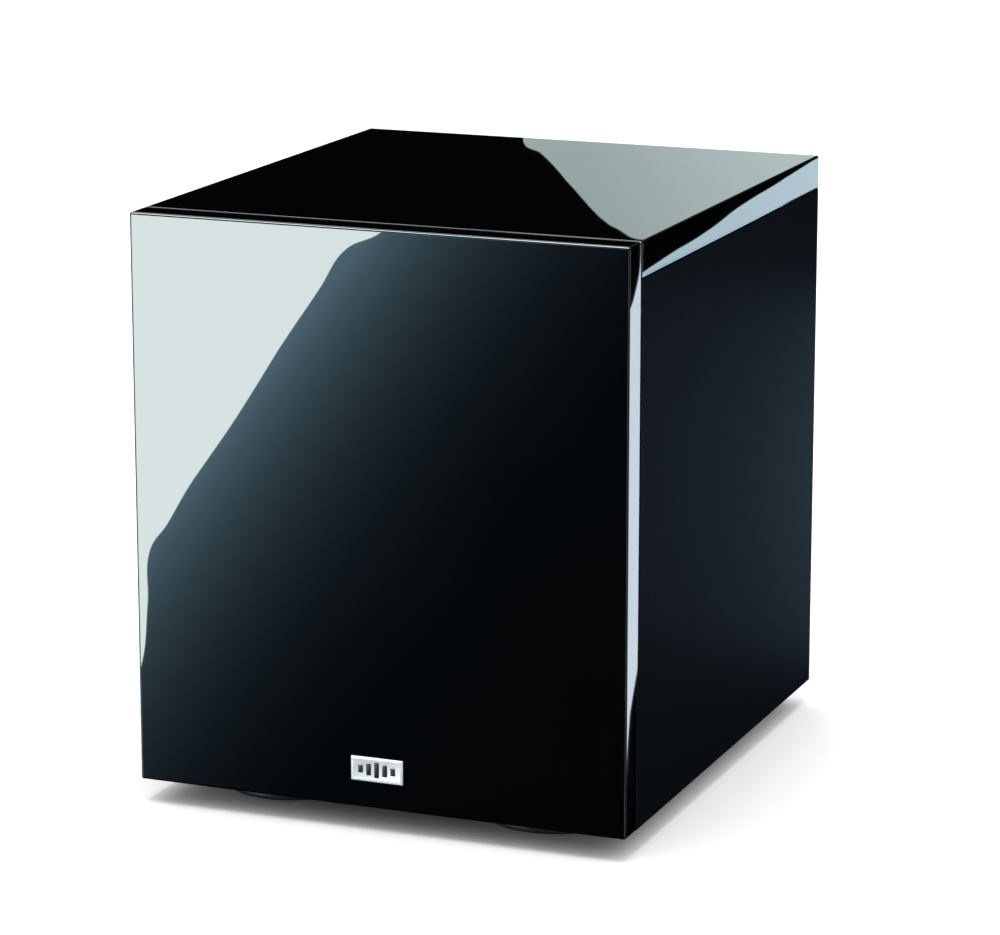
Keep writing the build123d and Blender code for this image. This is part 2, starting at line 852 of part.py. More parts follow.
def control_pots():
    """Two rotary controls: a round body on the plate and a bushing in its hole."""
    body = rod(pot_r, (-amp_t - pot_t, -amp_t)) + rod(bushing_r, (-amp_t, -0.2))
    body -= rod(shaft_r + shaft_play, (-shaft_depth - shaft_play * 2, 0))
    return Compound(children=[at_rear(x, control_z) * body for x in (volume_x, crossover_x)])


def slider_slot(x, travel):
    half = (travel + tab_w) / 2 + slider_gap
    tall = tab_h / 2 + slider_gap
    return rear_box(x, control_z, half, (-tall, tall), (-amp_t - slider_wall, 0))


def slider_housing(x, travel):
    """The fixed box of a slide switch, hollow where its tab's foot runs."""
    half = (travel + tab_foot_w) / 2 + slider_gap
    tall = tab_foot_h / 2 + slider_gap
    back = -amp_t - slider_box_t
    roof = -amp_t - slider_wall
    box = rear_box(x, control_z, half + slider_wall, (-tall - slider_wall, tall + slider_wall), (back, -amp_t))
    box -= rear_box(x, control_z, half, (-tall, tall), (roof - tab_foot_t - slider_gap * 2, roof))
    return box - slider_slot(x, travel)


def switch_housings():
    return Compound(
        children=[slider_housing(phase_x, phase_travel), slider_housing(mode_x, mode_travel)]
    )


def slider_tab(x, travel):
    """The moving tab, at the end of its travel towards -X."""
    place = x - travel / 2
    roof = -amp_t - slider_wall - slider_gap
    tab = rear_box(place, control_z, tab_w / 2, (-tab_h / 2, tab_h / 2), (roof, tab_proud))
    tab = fillet(tab.faces().sort_by(Axis.Y)[-1].edges(), 0.4)
    foot_box = (-tab_foot_h / 2, tab_foot_h / 2)
    return tab + rear_box(place, control_z, tab_foot_w / 2, foot_box, (roof - tab_foot_t, roof))


def status_led():
    lens = rod(led_r, (-5, 0.4)) + rod(led_r + 0.6, (-6.5, -amp_t))
    return at_rear(led_x, control_z) * fillet(lens.edges().group_by(Axis.Z)[-1], 0.35)


# ---- sockets ----
def rca_jacks():
    """Two plated sleeves with a flange outside the plate."""
    jack = rod(rca_r, (0, rca_len)) + rod(rca_flange_r, (0, rca_flange_t))
    jack += rod(rca_spigot_r, (-rca_spigot_len, 0))
    jack -= rod(rca_r - rca_wall, (rca_floor, rca_len))
    return Compound(children=[at_rear(x, socket_z) * jack for x in rca_xs])


def rca_insulators():
    core = ring(rca_r - rca_wall, rca_pin_r, (rca_floor, rca_len - rca_recess))
    return Compound(children=[at_rear(x, socket_z) * core for x in rca_xs])


def lever_places():
    half = lever_pitch * (lever_count - 1) / 2
    return [block_x + x for x in spread(half, -half, lever_count)]


def terminal_block():
    tall = block_h / 2
    block = rear_box(block_x, socket_z, block_w / 2, (-tall, tall), (-block_in, block_out))
    block = fillet(block.faces().sort_by(Axis.Y)[-1].edges(), 1.2)
    rim = block_flange
    flange = rear_box(block_x, socket_z, block_w / 2 + rim, (-tall - rim, tall + rim), (0, block_flange_t))
    block += fillet(flange.edges().filter_by(Axis.Y), 2.0)
    half = lever_w / 2 + lever_gap
    pin_hole = lever_pin_len + 0.2
    for x in lever_places():
        block -= rear_box(x, socket_z, half, lever_pocket, (-lever_pocket_in, block_out))
        hole = (wire_hole_z - wire_hole / 2, wire_hole_z + wire_hole / 2)
        block -= rear_box(x, socket_z, wire_hole / 2, hole, (-wire_hole_in, block_out))
        pin = lever_axle(x, half + pin_hole, lever_pin_r + lever_pin_play)
        block -= pin
    return block


def lever_axle(x, half, r):
    place = Pos(x, y_rear + lever_axis_y, socket_z + lever_axis_z) * Rot(0, 90, 0)
    return place * rod(r, (-half, half))


def lever(x):
    """One push lever: it hangs from its axle, with a thumb tab at its lower end."""
    r = lever_round
    y0 = y_rear + lever_axis_y
    z0 = socket_z + lever_axis_z
    tab = z0 - lever_len + lever_tab_h
    outline = Polyline(
        (0, y0 - r, z0),
        (0, y0 - r, z0 - lever_len),
        (0, y0 + lever_tab_out, z0 - lever_len),
        (0, y0 + lever_tab_out, tab),
        (0, y0 + r, tab + 3.4),
        (0, y0 + r, z0),
        close=True,
    )
    body = extrude(make_face(outline), lever_w / 2, both=True, dir=(1, 0, 0))
    body = fillet(body.edges().filter_by(Axis.X).sort_by(Axis.Y)[-2:], 0.8)
    body = Pos(x, 0, 0) * body + lever_axle(x, lever_w / 2, r)
    return body + lever_axle(x, lever_w / 2 + lever_gap + lever_pin_len, lever_pin_r)


# ---- mains inlet ----
def socket_outline(depth):
    """The appliance socket's hollow: two upper corners are cut off."""
    half = socket_w / 2
    tall = socket_h / 2
    cut = socket_corner
    outline = Polyline(
        (-half, -tall), (half, -tall), (half, tall - cut), (half - cut, tall), (cut - half, tall), (-half, tall - cut),
        close=True,
    )
    face = Plane((inlet_x, y_rear + inlet_flange_t, inlet_mid_z), x_dir=(1, 0, 0), z_dir=(0, -1, 0))
    return extrude(face * make_face(outline), depth)


def mains_inlet():
    """The moulded inlet: a flange with a rocker's well, a socket and a drawer's well."""
    front = inlet_flange_t
    body = rear_box(inlet_x, inlet_mid_z, inlet_w / 2, inlet_z, (-inlet_depth, 0))
    rim = (inlet_z[0] - inlet_flange, inlet_z[1] + inlet_flange)
    flange = rear_box(inlet_x, inlet_mid_z, inlet_w / 2 + inlet_flange, rim, (0, front))
    flange = fillet(flange.edges().filter_by(Axis.Y), 3.0)
    body += fillet(flange.faces().sort_by(Axis.Y)[-1].edges(), 0.8)
    body -= socket_outline(socket_depth + front)
    for place in blade_boxes():
        body -= place
    pocket = (rocker_z - rocker_pocket_half, rocker_z + rocker_pocket_half)
    body -= rear_box(inlet_x, inlet_mid_z, rocker_w / 2 + rocker_gap, pocket, (-rocker_pocket_in, front))
    body -= rocker_axle(rocker_w / 2 + rocker_gap + rocker_pin_len + 0.2, rocker_pin_r + rocker_pin_play)
    tall = drawer_h / 2 + drawer_gap
    well = (drawer_z - tall, drawer_z + tall)
    body -= rear_box(inlet_x, inlet_mid_z, drawer_w / 2 + drawer_gap, well, (-drawer_in - drawer_gap, front))
    return body


def blade_boxes():
    boxes = []
    for x, z in blade_places:
        heights = (z - blade_h / 2, z + blade_h / 2)
        reach = (-inlet_depth - blade_tail, blade_reach - socket_depth)
        boxes.append(rear_box(inlet_x + x, inlet_mid_z, blade_w / 2, heights, reach))
    return boxes


def inlet_pins():
    return Compound(children=blade_boxes())


def rocker_axle(half, r):
    place = Pos(inlet_x, y_rear - rocker_axis_in, inlet_mid_z + rocker_z) * Rot(0, 90, 0)
    return place * rod(r, (-half, half))


def power_rocker():
    """The rocker, with its upper half pressed in."""
    y = y_rear
    z = inlet_mid_z + rocker_z
    half = rocker_half
    outline = Polyline(
        (0, y + rocker_rise, z - half),
        (0, y + rocker_dip, z),
        (0, y + rocker_rise, z + half),
        (0, y - rocker_axis_in, z + half),
        (0, y - rocker_belly, z),
        (0, y - rocker_axis_in, z - half),
        close=True,
    )
    body = extrude(make_face(outline), rocker_w / 2, both=True, dir=(1, 0, 0))
    body = Pos(inlet_x, 0, 0) * body + rocker_axle(rocker_w / 2 + rocker_gap + rocker_pin_len, rocker_pin_r)
    axis = Axis((inlet_x, y - rocker_axis_in, z), (1, 0, 0))
    return body.rotate(axis, rocker_tilt)


def fuse_drawer():
    """The pull-out fuse holder, with a finger lip and a well for the fuse."""
    front = inlet_flange_t
    tall = drawer_h / 2
    heights = (drawer_z - tall, drawer_z + tall)
    drawer = rear_box(inlet_x, inlet_mid_z, drawer_w / 2, heights, (-drawer_in, front))
    lip = (drawer_z + tall - drawer_lip_t * 2, drawer_z + tall)
    drawer += rear_box(inlet_x, inlet_mid_z, drawer_w / 4, lip, (front, front + drawer_lip))
    well = (drawer_z - tall + drawer_lip_t, drawer_z + tall)
    long, wide = drawer_well
    return drawer - rear_box(inlet_x, inlet_mid_z, long / 2, well, (-drawer_in + 2, -drawer_in + 2 + wide))


def subparts():
    """Every piece by name, in place."""
    driver = driver_place()
    parts = {
        "front_panel": front_panel(),
        "top_panel": top_panel(),
        "side_panel_left": side_panel(-1),
        "side_panel_right": side_panel(1),
        "bottom_panel": bottom_panel(),
        "rear_panel": rear_panel(),
        "window_brace": window_brace(),
        "panel_dowels": panel_dowels(),
        "damping_wool": damping_wool(),
        "badge_plate": badge_plate(),
        "foot_screws": foot_screws(),
        "driver_basket": driver * driver_basket(),
        "driver_gasket": driver * driver_gasket(),
        "driver_screws": driver_screws(),
        "driver_surround": driver * driver_surround(),
        "driver_spider": driver * driver_spider(),
        "driver_cone": driver * driver_cone(),
        "dust_cap": driver * dust_cap(),
        "coil_former": driver * coil_former(),
        "voice_coil": driver * voice_coil(),
        "tinsel_leads": tinsel_leads(),
        "top_plate": driver * top_plate(),
        "magnet_ring": driver * magnet_ring(),
        "pole_yoke": driver * pole_yoke(),
        "port_flare": port_flare_ring(),
        "port_tube": port_tube(),
        "amp_plate": amp_plate(),
        "amp_gasket": amp_gasket(),
        "amp_screws": amp_screws(),
        "heat_sink": heat_sink(),
        "main_board": main_board(),
        "transformer": transformer(),
        "volume_knob": knob(volume_x),
        "volume_shaft": shaft(volume_x),
        "crossover_knob": knob(crossover_x),
        "crossover_shaft": shaft(crossover_x),
        "control_pots": control_pots(),
        "switch_housings": switch_housings(),
        "phase_switch": slider_tab(phase_x, phase_travel),
        "mode_switch": slider_tab(mode_x, mode_travel),
        "status_led": status_led(),
        "rca_jacks": rca_jacks(),
        "rca_insulators": rca_insulators(),
        "terminal_block": terminal_block(),
        "mains_inlet": mains_inlet(),
        "inlet_pins": inlet_pins(),
        "power_rocker": power_rocker(),
        "fuse_drawer": fuse_drawer(),
    }
    for name, (x, y) in foot_places().items():
        parts[f"foot_{name}"] = Pos(x, y, 0) * foot()
        parts[f"pad_{name}"] = Pos(x, y, 0) * pad()
    for number, x in enumerate(lever_places(), 1):
        parts[f"terminal_lever_{number}"] = lever(x)
    return parts


os.makedirs("parts", exist_ok=True)
for name, solid in subparts().items():
    export_step(solid, f"parts/{name}.step")
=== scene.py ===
import math

import bpy
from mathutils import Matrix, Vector
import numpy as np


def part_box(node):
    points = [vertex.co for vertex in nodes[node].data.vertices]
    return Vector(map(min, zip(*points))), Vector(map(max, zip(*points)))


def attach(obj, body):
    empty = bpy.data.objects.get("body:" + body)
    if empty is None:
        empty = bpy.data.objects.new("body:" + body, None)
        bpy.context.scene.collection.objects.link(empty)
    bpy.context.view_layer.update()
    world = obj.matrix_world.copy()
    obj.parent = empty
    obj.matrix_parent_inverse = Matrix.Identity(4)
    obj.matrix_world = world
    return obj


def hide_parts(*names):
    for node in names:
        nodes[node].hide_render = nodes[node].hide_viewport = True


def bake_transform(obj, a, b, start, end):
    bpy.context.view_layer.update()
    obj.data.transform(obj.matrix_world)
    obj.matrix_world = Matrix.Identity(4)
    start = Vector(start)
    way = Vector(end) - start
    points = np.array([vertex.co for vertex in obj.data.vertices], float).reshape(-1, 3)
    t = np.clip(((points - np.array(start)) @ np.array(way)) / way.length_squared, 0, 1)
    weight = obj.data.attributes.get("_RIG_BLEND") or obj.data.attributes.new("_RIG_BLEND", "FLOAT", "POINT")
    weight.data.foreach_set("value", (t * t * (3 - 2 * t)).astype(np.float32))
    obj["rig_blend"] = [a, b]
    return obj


# A compact subwoofer: lacquered front and top, foil-wrapped body, round feet, a down-firing
# driver and a plate amplifier. Metres; the front faces -Y.

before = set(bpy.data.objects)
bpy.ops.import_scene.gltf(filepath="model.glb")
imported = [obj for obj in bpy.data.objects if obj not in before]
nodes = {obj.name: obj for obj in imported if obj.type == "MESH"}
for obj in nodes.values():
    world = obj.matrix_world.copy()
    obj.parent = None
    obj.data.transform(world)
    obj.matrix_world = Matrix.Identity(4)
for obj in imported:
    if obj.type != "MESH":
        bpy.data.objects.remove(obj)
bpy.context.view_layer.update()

# ---- places read from the frame ----
front_low, front_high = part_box("front_panel")
_, top_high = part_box("top_panel")
_, side_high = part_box("side_panel_right")
_, plate_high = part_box("amp_plate")
cone_low, cone_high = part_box("driver_cone")
driver_x = (cone_low.x + cone_high.x) / 2
driver_y = (cone_low.y + cone_high.y) / 2

# ---- camera ----
camera_place = Vector((1.01565, -2.5233, 0.85512))
camera_turn = 0.380766
camera_dip = 0.235145
camera_lens = 144.07


def add_camera():
    data = bpy.data.cameras.new("camera")
    camera = bpy.data.objects.new("camera", data)
    bpy.context.scene.collection.objects.link(camera)
    camera.location = camera_place
    camera.rotation_euler = (math.radians(90) - camera_dip, 0, camera_turn)
    data.lens = camera_lens
    data.sensor_width = 36
    bpy.context.scene.camera = camera


# ---- shader work ----
def new_material(name, colour, roughness, metallic=0.0, specular=0.5):
    material = bpy.data.materials.new(name)
    material.use_nodes = True
    shader = material.node_tree.nodes["Principled BSDF"]
    shader.inputs["Base Color"].default_value = (*colour, 1)
    shader.inputs["Roughness"].default_value = roughness
    shader.inputs["Metallic"].default_value = metallic
    shader.inputs["Specular IOR Level"].default_value = specular
    return material, material.node_tree, shader


def add_node(tree, kind, **settings):
    """A shader node; a setting named after a socket fills it, any other sets a property."""
    node = tree.nodes.new(kind)
    for name, value in settings.items():
        socket = name.replace("_", " ").title()
        if socket in node.inputs:
            node.inputs[socket].default_value = value
        else:
            setattr(node, name, value)
    return node


def surface_point(tree, centre=(0, 0, 0), stretch=(1, 1, 1), turn=(0, 0, 0)):
    """Object coordinates, measured from a centre and stretched or turned."""
    point = add_node(tree, "ShaderNodeTexCoord").outputs["Object"]
    shift = add_node(tree, "ShaderNodeMapping", vector_type="TEXTURE")
    shift.inputs["Location"].default_value = centre
    shift.inputs["Rotation"].default_value = turn
    shift.inputs["Scale"].default_value = stretch
    tree.links.new(point, shift.inputs["Vector"])
    return shift.outputs["Vector"]


def noise(tree, point, scale, detail=3.0, roughness=0.5):
    node = add_node(tree, "ShaderNodeTexNoise", scale=scale, detail=detail, roughness=roughness)
    tree.links.new(point, node.inputs["Vector"])
    return node.outputs["Fac"]


def ramp(tree, value, stops):
    """A colour ramp over a value: stops are pairs of a position and a grey or a colour."""
    node = add_node(tree, "ShaderNodeValToRGB")
    elements = node.color_ramp.elements
    while len(elements) < len(stops):
        elements.new(0.5)
    for element, (place, colour) in zip(elements, stops):
        element.position = place
        grey = isinstance(colour, (int, float))
        element.color = (colour, colour, colour, 1) if grey else (*colour, 1)
    tree.links.new(value, node.inputs["Fac"])
    return node.outputs["Color"]


def bump(tree, shader, height, strength, distance, socket="Normal"):
    node = add_node(tree, "ShaderNodeBump", strength=strength, distance=distance)
    tree.links.new(height, node.inputs["Height"])
    tree.links.new(node.outputs["Normal"], shader.inputs[socket])


def paint(tree, shader, value, dark, light, low=0.3, high=0.7):
    """The base colour wanders between two colours with a pattern."""
    tree.links.new(ramp(tree, value, [(low, dark), (high, light)]), shader.inputs["Base Color"])


def dull(tree, shader, value, smooth, rough):
    """The roughness wanders between two values with a pattern."""
    tree.links.new(ramp(tree, value, [(0.3, smooth), (0.7, rough)]), shader.inputs["Roughness"])


def shade_of(colour, share):
    return tuple(channel * share for channel in colour)


# ---- finishes ----
def lacquer():
    """Deep black under a clear coat with the faint ripple of a sprayed finish."""
    material, tree, shader = new_material("black_lacquer", (0.0006, 0.0008, 0.0012), 0.6, specular=0.0)
    shader.inputs["Coat Weight"].default_value = 1.0
    shader.inputs["Coat Roughness"].default_value = 0.01
    shader.inputs["Coat IOR"].default_value = 1.55
    point = surface_point(tree)
    paint(tree, shader, noise(tree, point, 9.0), (0.0004, 0.0006, 0.0009), (0.0008, 0.0011, 0.0016))
    bump(tree, shader, noise(tree, point, 24.0, 1.0), 0.008, 0.0006, "Coat Normal")
    return material


def foil():
    """Vinyl foil: a fine pebble grain under a thin satin film."""
    material, tree, shader = new_material("black_foil", (0.002, 0.003, 0.004), 0.6, specular=0.0)
    shader.inputs["Coat Weight"].default_value = 0.045
    shader.inputs["Coat Roughness"].default_value = 0.32
    point = surface_point(tree)
    grain = noise(tree, point, 520.0, 3.0, 0.62)
    paint(tree, shader, grain, (0.0004, 0.0010, 0.0016), (0.0022, 0.0038, 0.0058), 0.35, 0.65)
    bump(tree, shader, grain, 0.3, 0.0004)
    bump(tree, shader, grain, 0.3, 0.0004, "Coat Normal")
    return material


def moulded(name, colour, roughness=0.45, grain=1400.0, depth=0.0001, gloss=0.5):
    """Moulded plastic with a fine spark-eroded texture and slight flow marks."""
    material, tree, shader = new_material(name, colour, roughness, specular=gloss)
    point = surface_point(tree)
    paint(tree, shader, noise(tree, point, 60.0), shade_of(colour, 0.82), shade_of(colour, 1.15))
    dull(tree, shader, noise(tree, point, 240.0), roughness * 0.85, roughness * 1.18)
    bump(tree, shader, noise(tree, point, grain, 2.0), 0.3, depth)
    return material


def rubber(name, colour, roughness=0.72):
    """Rubber with a dry, slightly dusty face."""
    material, tree, shader = new_material(name, colour, roughness, specular=0.3)
    shader.inputs["Sheen Weight"].default_value = 0.08
    shader.inputs["Sheen Roughness"].default_value = 0.5
    point = surface_point(tree)
    paint(tree, shader, noise(tree, point, 90.0, 5.0), shade_of(colour, 0.75), shade_of(colour, 1.5))
    bump(tree, shader, noise(tree, point, 1100.0), 0.25, 0.00012)
    return material


def foam(name, colour):
    """Closed-cell foam: small round pores."""
    material, tree, shader = new_material(name, colour, 0.9, specular=0.2)
    cells = add_node(tree, "ShaderNodeTexVoronoi", scale=1300.0)
    tree.links.new(surface_point(tree), cells.inputs["Vector"])
    pores = cells.outputs["Distance"]
    paint(tree, shader, pores, shade_of(colour, 0.4), shade_of(colour, 1.5), 0.1, 0.6)
    bump(tree, shader, pores, 0.6, 0.0003)
    return material


def powder_coat(name, colour, roughness=0.5, orange_peel=700.0):
    """Baked powder paint: low bumps that run together."""
    material, tree, shader = new_material(name, colour, roughness, specular=0.45)
    point = surface_point(tree)
    peel = noise(tree, point, orange_peel, 2.0)
    paint(tree, shader, peel, shade_of(colour, 0.7), shade_of(colour, 1.35))
    dull(tree, shader, noise(tree, point, 40.0, 4.0), roughness * 0.85, roughness * 1.15)
    bump(tree, shader, peel, 0.45, 0.00025)
    return material


def bare_metal(name, colour, roughness, grain=(1, 1, 1), cloud=70.0):
    """Plated or bare metal: fine working marks along one way and clouded sheen."""
    material, tree, shader = new_material(name, colour, roughness, metallic=1.0)
    marks = noise(tree, surface_point(tree, stretch=grain), 900.0, 3.0)
    clouds = noise(tree, surface_point(tree), cloud, 4.0)
    paint(tree, shader, clouds, shade_of(colour, 0.8), colour)
    dull(tree, shader, marks, roughness * 0.7, roughness * 1.3)
    bump(tree, shader, marks, 0.12, 0.00008)
    return material


def badge_silver():
    """Satin silver with upright brush lines."""
    material, tree, shader = new_material("badge_silver", (0.76, 0.8, 0.82), 0.36, metallic=0.3)
    lines = noise(tree, surface_point(tree, stretch=(1, 1, 30)), 2600.0, 2.0)
    paint(tree, shader, lines, (0.66, 0.71, 0.73), (0.8, 0.84, 0.86))
    bump(tree, shader, lines, 0.15, 0.00005)
    return material


def cone_paper():
    """Pressed paper pulp, coated: radial fibres and shallow pressed rings."""
    material, tree, shader = new_material("cone_paper", (0.03, 0.03, 0.032), 0.6, specular=0.35)
    centre = (driver_x, driver_y, 0)
    point = surface_point(tree, centre=centre)
    fibres = noise(tree, point, 420.0, 6.0, 0.7)
    paint(tree, shader, fibres, (0.016, 0.016, 0.018), (0.05, 0.05, 0.053))
    rings = add_node(
        tree, "ShaderNodeTexWave", wave_type="RINGS", rings_direction="Z", scale=52.0, distortion=0.0
    )
    tree.links.new(point, rings.inputs["Vector"])
    both = add_node(tree, "ShaderNodeMath", operation="MULTIPLY_ADD")
    both.inputs[1].default_value = 0.35
    tree.links.new(fibres, both.inputs[0])
    tree.links.new(rings.outputs["Fac"], both.inputs[2])
    bump(tree, shader, both.outputs[0], 0.4, 0.0004)
    return material


def woven(name, dark, light, pitch, centre=(0, 0, 0)):
    """Plain weave: two crossed sets of threads."""
    material, tree, shader = new_material(name, light, 0.85, specular=0.2)
    point = surface_point(tree, centre=centre)
    threads = []
    for way in ("X", "Y"):
        wave = add_node(
            tree, "ShaderNodeTexWave", bands_direction=way, scale=pitch, distortion=0.4
        )
        tree.links.new(point, wave.inputs["Vector"])
        threads.append(wave.outputs["Fac"])
    weave = add_node(tree, "ShaderNodeMath", operation="MULTIPLY")
    tree.links.new(threads[0], weave.inputs[0])
    tree.links.new(threads[1], weave.inputs[1])
    paint(tree, shader, weave.outputs[0], dark, light, 0.05, 0.6)
    bump(tree, shader, weave.outputs[0], 0.6, 0.0003)
    return material


def wound_copper():
    """Enamelled wire in close turns about Z."""
    material, tree, shader = new_material("wound_copper", (0.72, 0.33, 0.14), 0.28, metallic=1.0)
    turns = add_node(tree, "ShaderNodeTexWave", bands_direction="Z", scale=420.0)
    tree.links.new(surface_point(tree), turns.inputs["Vector"])
    paint(tree, shader, turns.outputs["Fac"], (0.3, 0.11, 0.04), (0.8, 0.4, 0.18), 0.0, 0.6)
    bump(tree, shader, turns.outputs["Fac"], 0.8, 0.0003)
    return material


def wound_tape():
    """Yellow insulating tape lapped round the toroid."""
    material, tree, shader = new_material("wound_tape", (0.62, 0.4, 0.05), 0.35)
    low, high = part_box("transformer")
    middle = (low + high) / 2
    laps = add_node(
        tree, "ShaderNodeTexWave", bands_direction="DIAGONAL", scale=90.0, distortion=1.2
    )
    tree.links.new(surface_point(tree, centre=middle), laps.inputs["Vector"])
    paint(tree, shader, laps.outputs["Fac"], (0.42, 0.25, 0.02), (0.7, 0.47, 0.08), 0.1, 0.8)
    bump(tree, shader, laps.outputs["Fac"], 0.4, 0.0003)
    return material


def wood(name, dark, light, stretch):
    """Wood or board: fibres along one way over a speckled body."""
    material, tree, shader = new_material(name, light, 0.75, specular=0.25)
    fibres = noise(tree, surface_point(tree, stretch=stretch), 260.0, 6.0, 0.7)
    paint(tree, shader, fibres, dark, light)
    bump(tree, shader, fibres, 0.3, 0.0003)
    return material


def circuit_board():
    """Green mask over copper tracks."""
    material, tree, shader = new_material("circuit_board", (0.01, 0.12, 0.04), 0.3)
    tracks = add_node(
        tree, "ShaderNodeTexVoronoi", distance="MANHATTAN", feature="F2", scale=260.0
    )
    tree.links.new(surface_point(tree), tracks.inputs["Vector"])
    paint(tree, shader, tracks.outputs["Distance"], (0.006, 0.07, 0.025), (0.03, 0.2, 0.07), 0.45, 0.55)
    bump(tree, shader, tracks.outputs["Distance"], 0.3, 0.0001)
    return material


def wool_fibre():
    material, tree, shader = new_material("wool_fibre", (0.8, 0.8, 0.76), 0.95, specular=0.1)
    shader.inputs["Sheen Weight"].default_value = 0.5
    tangle = noise(tree, surface_point(tree), 320.0, 8.0, 0.8)
    paint(tree, shader, tangle, (0.6, 0.6, 0.56), (0.88, 0.88, 0.84))
    bump(tree, shader, tangle, 0.9, 0.002)
    return material


def lit_lens():
    """A tinted lens with the lamp on behind it."""
    material, tree, shader = new_material("lit_lens", (0.05, 0.55, 0.12), 0.2)
    shader.inputs["Emission Strength"].default_value = 1.5
    low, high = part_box("status_led")
    centre = (low + high) / 2
    spot = add_node(tree, "ShaderNodeTexGradient", gradient_type="SPHERICAL")
    point = surface_point(tree, centre=(centre.x, high.y, centre.z), stretch=(0.0024, 0.0024, 0.0024))
    tree.links.new(point, spot.inputs["Vector"])
    glow = ramp(tree, spot.outputs["Fac"], [(0.1, (0.01, 0.25, 0.04)), (0.8, (0.3, 1.0, 0.4))])
    tree.links.new(glow, shader.inputs["Emission Color"])
    return material


def insulator():
    """Red in the right-hand socket and white in the left, seen from behind."""
    material, tree, shader = new_material("socket_core", (0.8, 0.8, 0.77), 0.35)
    low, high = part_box("rca_insulators")
    across = add_node(tree, "ShaderNodeSeparateXYZ")
    tree.links.new(surface_point(tree, centre=((low.x + high.x) / 2, 0, 0)), across.inputs["Vector"])
    side = add_node(tree, "ShaderNodeMath", operation="GREATER_THAN")
    side.inputs[1].default_value = 0.0
    tree.links.new(across.outputs["X"], side.inputs[0])
    paint(tree, shader, side.outputs[0], (0.55, 0.012, 0.012), (0.8, 0.8, 0.77))
    bump(tree, shader, noise(tree, surface_point(tree), 900.0), 0.1, 0.0001)
    return material


def assign(material, *names):
    for name in names:
        for place in nodes[name].material_slots:
            place.material = material


def finish_nodes():
    corners = [f"{end}_{side}" for end in ("front", "rear") for side in ("left", "right")]
    assign(lacquer(), "front_panel", "top_panel")
    assign(foil(), "side_panel_left", "side_panel_right", "rear_panel", "bottom_panel")
    assign(wood("raw_board", (0.26, 0.17, 0.1), (0.48, 0.36, 0.23), (1, 1, 1)), "window_brace")
    assign(wood("beech", (0.5, 0.33, 0.18), (0.68, 0.5, 0.31), (1, 6, 6)), "panel_dowels")
    assign(wool_fibre(), "damping_wool")
    assign(bare_metal("zinc", (0.62, 0.62, 0.6), 0.32), "foot_screws", "inlet_pins", "volume_shaft",
           "crossover_shaft", "control_pots")
    assign(powder_coat("black_screw", (0.02, 0.02, 0.022), 0.35, 1500.0), "amp_screws", "driver_screws")
    assign(powder_coat("basket_paint", (0.028, 0.028, 0.03), 0.55, 1000.0), "driver_basket")
    assign(foam("foam_seal", (0.03, 0.03, 0.032)), "driver_gasket", "amp_gasket")
    assign(cone_paper(), "driver_cone", "dust_cap")
    assign(bare_metal("former_foil", (0.75, 0.75, 0.76), 0.25), "coil_former")
    assign(wound_copper(), "voice_coil")
    assign(bare_metal("plated_steel", (0.55, 0.55, 0.52), 0.3), "top_plate", "pole_yoke")
    assign(powder_coat("ferrite", (0.05, 0.05, 0.053), 0.6, 420.0), "magnet_ring")
    assign(moulded("port_plastic", (0.018, 0.018, 0.02), 0.42), "port_flare", "port_tube")
    assign(powder_coat("amp_paint", (0.0095, 0.0098, 0.0105), 0.46), "amp_plate")
    assign(bare_metal("black_anodised", (0.05, 0.05, 0.054), 0.42, grain=(1, 1, 40)), "heat_sink")
    assign(circuit_board(), "main_board")
    assign(wound_tape(), "transformer")
    assign(moulded("knob_plastic", (0.017, 0.017, 0.018), 0.38), "volume_knob", "crossover_knob")
    assign(moulded("tab_plastic", (0.72, 0.72, 0.69), 0.4), "phase_switch", "mode_switch")
    assign(moulded("housing_plastic", (0.03, 0.03, 0.03), 0.5), "switch_housings")
    assign(lit_lens(), "status_led")
    assign(bare_metal("gold_plate", (0.86, 0.6, 0.23), 0.2), "rca_jacks")
    assign(insulator(), "rca_insulators")
    assign(moulded("inlet_plastic", (0.014, 0.014, 0.015), 0.45), "mains_inlet", "terminal_block",
           "fuse_drawer")
    assign(moulded("rocker_plastic", (0.012, 0.012, 0.013), 0.22, depth=0.00003), "power_rocker")
    levers = [f"terminal_lever_{number}" for number in range(1, 5)]
    assign(moulded("lever_red", (0.5, 0.015, 0.015), 0.38), levers[0], levers[2])
    assign(moulded("lever_black", (0.018, 0.018, 0.018), 0.38), levers[1], levers[3])
    assign(moulded("foot_plastic", (0.022, 0.026, 0.03), 0.4), *[f"foot_{corner}" for corner in corners])
    assign(rubber("pad_rubber", (0.02, 0.02, 0.021)), *[f"pad_{corner}" for corner in corners])


# ---- making pieces ----
def clear_selection():
    if bpy.context.object and bpy.context.object.mode != "OBJECT":
        bpy.ops.object.mode_set(mode="OBJECT")
    bpy.ops.object.select_all(action="DESELECT")


def settle(piece):
    """The place and size go into the mesh, so the object sits at the origin."""
    bpy.ops.object.transform_apply(location=True, rotation=True, scale=True)
    return piece


def block(name, low, high, edge=0.0, steps=2):
    """A block between two corners, with its edges eased."""
    clear_selection()
    low, high = Vector(low), Vector(high)
    bpy.ops.mesh.primitive_cube_add(size=1, location=(low + high) / 2)
    piece = bpy.context.object
    piece.name = name
    piece.scale = high - low
    settle(piece)
    if edge:
        ease(piece, edge, steps)
    return piece


def ease(piece, width, steps=2):
    bevel = piece.modifiers.new("eased", "BEVEL")
    bevel.width = width
    bevel.segments = steps
    bevel.limit_method = "ANGLE"
    bpy.ops.object.modifier_apply(modifier=bevel.name)


